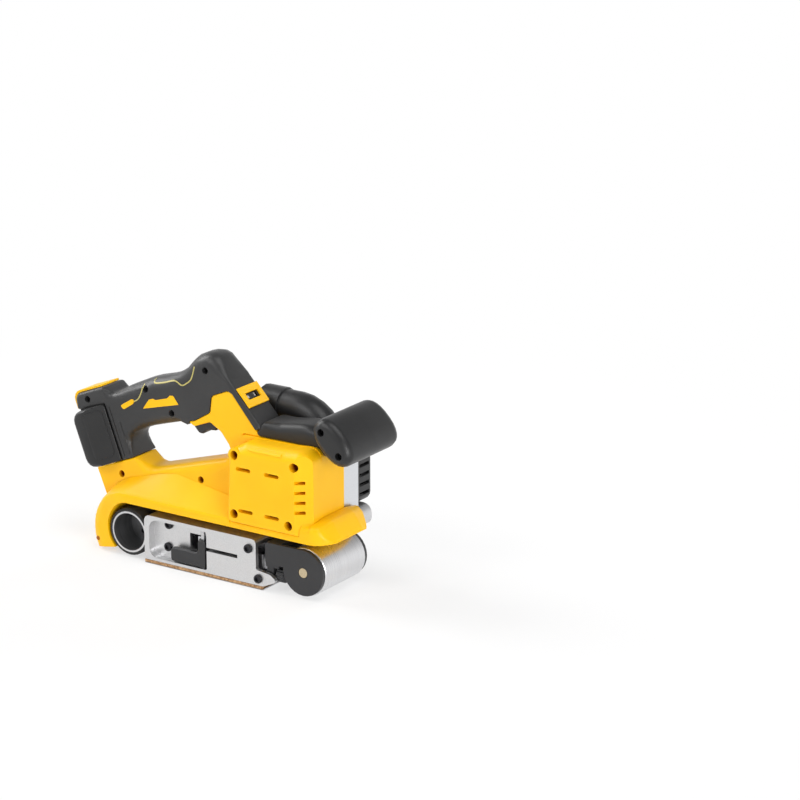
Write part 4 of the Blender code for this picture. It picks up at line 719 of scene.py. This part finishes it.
# Tension spring as a round wire
SPRING_WIRE = 0.9
SPRING_TURNS = 8
WIRE_SIDES = 10
STEPS_A_TURN = 24
spring_low, spring_high = [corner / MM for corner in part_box("tension_spring")]
spring_middle = (spring_low + spring_high) / 2
spring_radius = (spring_high.y - spring_low.y) / 2 - SPRING_WIRE
spring_start = spring_low.x + SPRING_WIRE
spring_end = spring_high.x - SPRING_WIRE
pitch = (spring_end - spring_start) / SPRING_TURNS
wire_rings = []
for k in range(SPRING_TURNS * STEPS_A_TURN + 1):
    turn = 2 * math.pi * k / STEPS_A_TURN
    arm = Vector((0, math.cos(turn), math.sin(turn)))
    ahead = Vector((pitch / (2 * math.pi * spring_radius), -math.sin(turn), math.cos(turn))).normalized()
    beside = ahead.cross(arm)
    middle = Vector((spring_start + pitch * k / STEPS_A_TURN, 0, spring_middle.z)) + arm * spring_radius
    row = []
    for j in range(WIRE_SIDES):
        spin = 2 * math.pi * j / WIRE_SIDES
        row.append(middle + (arm * math.cos(spin) + beside * math.sin(spin)) * SPRING_WIRE)
    wire_rings.append(row)
coil = piece("spring_coil", skin(wire_rings), STEEL, "body", "tension_spring")
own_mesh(coil)

# Rib along the upper edge of the motor block
block_tree = surface("motor_housing")
rib_rings = []
for k in range(13):
    x = 43 + 3 * k
    row = []
    for lift, z in ((-0.5, 132.6), (0.6, 132.1), (0.9, 130.9), (0.6, 129.7), (-0.5, 129.2)):
        row.append(laid(block_tree, x, z, -1, lift))
    rib_rings.append(row)
piece("block_rib", skin(rib_rings), YELLOW, edge=0.2)

# Studio: pale floor, soft lamps, camera at the photo's viewpoint
floor_mesh = bmesh.new()
bmesh.ops.create_grid(floor_mesh, x_segments=1, y_segments=1, size=6.0)
floor_data = bpy.data.meshes.new("floor")
floor_mesh.to_mesh(floor_data)
floor_mesh.free()
floor = bpy.data.objects.new("floor", floor_data)
bpy.context.scene.collection.objects.link(floor)
floor_paint = Paint("floor", rough=0.9, specular=0.1)
floor_paint.colour(floor_paint.ramp(floor_paint.noise(3.0), [(0.3, (0.86, 0.86, 0.86)), (0.7, (0.89, 0.89, 0.89))]))
floor_data.materials.append(floor_paint.material)


def lamp(name, place, aim, size, power, glossy=True):
    """Large soft lamp, which glossy surfaces may mirror or not."""
    light = bpy.data.lights.new(name, "AREA")
    light.shape = "DISK"
    light.size = size
    light.energy = power
    item = bpy.data.objects.new(name, light)
    bpy.context.scene.collection.objects.link(item)
    item.location = place
    item.rotation_euler = (Vector(aim) - Vector(place)).to_track_quat("-Z", "Y").to_euler()
    item.visible_camera = False
    item.visible_glossy = glossy


lamp("key", (-1.2, -3.3, 3.2), (0, 0, 0.08), 1.8, 55)
lamp("fill", (3.9, -2.3, 1.0), (0, 0, 0.1), 1.8, 90)
lamp("left", (-3.2, -0.3, 2.5), (0, 0, 0.1), 2.2, 92)
lamp("top", (1.5, -0.3, 3.9), (0, 0, 0.1), 2.4, 58)
lamp("far", (0.6, 3.6, 1.9), (0, 0, 0.1), 2.2, 55, glossy=False)


def seen_by_eye(tree):
    """Share that is one for camera, glossy and transmission rays."""
    rays = tree.nodes.new("ShaderNodeLightPath")
    first = tree.nodes.new("ShaderNodeMath")
    first.operation = "MAXIMUM"
    second = tree.nodes.new("ShaderNodeMath")
    second.operation = "MAXIMUM"
    tree.links.new(rays.outputs["Is Camera Ray"], first.inputs[0])
    tree.links.new(rays.outputs["Is Glossy Ray"], first.inputs[1])
    tree.links.new(first.outputs[0], second.inputs[0])
    tree.links.new(rays.outputs["Is Transmission Ray"], second.inputs[1])
    return second.outputs[0]


# Away from the object the floor runs out into plain white
floor_tree = floor_paint.tree
flat = floor_paint.add("ShaderNodeVectorMath", operation="LENGTH")
floor_paint.put(flat.inputs[0], floor_paint.place)
far = floor_paint.add("ShaderNodeMapRange", interpolation_type="SMOOTHSTEP", Value=flat.outputs["Value"])
far.inputs["From Min"].default_value = 0.2
far.inputs["From Max"].default_value = 0.85
far.inputs["To Min"].default_value = 0.62
glow = floor_paint.add("ShaderNodeEmission")
glow.inputs["Color"].default_value = (1.0, 1.0, 1.0, 1.0)
blend = floor_paint.add("ShaderNodeMixShader")
floor_paint.put(blend.inputs[0], floor_paint.math("MULTIPLY", far.outputs["Result"], seen_by_eye(floor_tree)))
floor_paint.put(blend.inputs[1], floor_paint.shader.outputs["BSDF"])
floor_paint.put(blend.inputs[2], glow.outputs["Emission"])
floor_paint.put(floor_tree.nodes["Material Output"].inputs["Surface"], blend.outputs["Shader"])

# Studio walls: white at the horizon, greyer overhead
world = bpy.data.worlds.new("studio")
bpy.context.scene.world = world
world.use_nodes = True
sky = world.node_tree
sky.nodes.clear()
where = sky.nodes.new("ShaderNodeTexCoord")
parts = sky.nodes.new("ShaderNodeSeparateXYZ")
wall = sky.nodes.new("ShaderNodeValToRGB")
strength = sky.nodes.new("ShaderNodeMapRange")
strength.inputs["To Min"].default_value = 0.54
strength.inputs["To Max"].default_value = 1.0
backdrop = sky.nodes.new("ShaderNodeBackground")
output = sky.nodes.new("ShaderNodeOutputWorld")
wall.color_ramp.elements[0].position = 0.12
wall.color_ramp.elements[0].color = (1.0, 1.0, 1.0, 1.0)
wall.color_ramp.elements[1].position = 0.65
wall.color_ramp.elements[1].color = (0.3, 0.3, 0.3, 1.0)
sky.links.new(where.outputs["Generated"], parts.inputs[0])
sky.links.new(parts.outputs["Z"], wall.inputs["Fac"])
sky.links.new(wall.outputs["Color"], backdrop.inputs["Color"])
sky.links.new(seen_by_eye(sky), strength.inputs["Value"])
sky.links.new(strength.outputs["Result"], backdrop.inputs["Strength"])
sky.links.new(backdrop.outputs[0], output.inputs["Surface"])

AZIMUTH = math.radians(33.55)
ELEVATION = math.radians(17.09)
DISTANCE = 2.6
AIM = Vector((0.17803, 0.0, 0.18937))
back = Vector((math.sin(AZIMUTH) * math.cos(ELEVATION), -math.cos(AZIMUTH) * math.cos(ELEVATION), math.sin(ELEVATION)))
right = Vector((math.cos(AZIMUTH), math.sin(AZIMUTH), 0))
camera_data = bpy.data.cameras.new("camera")
camera_data.lens = 135.5
camera_data.sensor_width = 36.0
camera_data.sensor_fit = "HORIZONTAL"
camera = bpy.data.objects.new("camera", camera_data)
bpy.context.scene.collection.objects.link(camera)
facing = Matrix((right, back.cross(right), back)).transposed().to_4x4()
facing.translation = AIM + back * DISTANCE
camera.matrix_world = facing
bpy.context.scene.camera = camera
bpy.context.scene.view_settings.view_transform = "Standard"
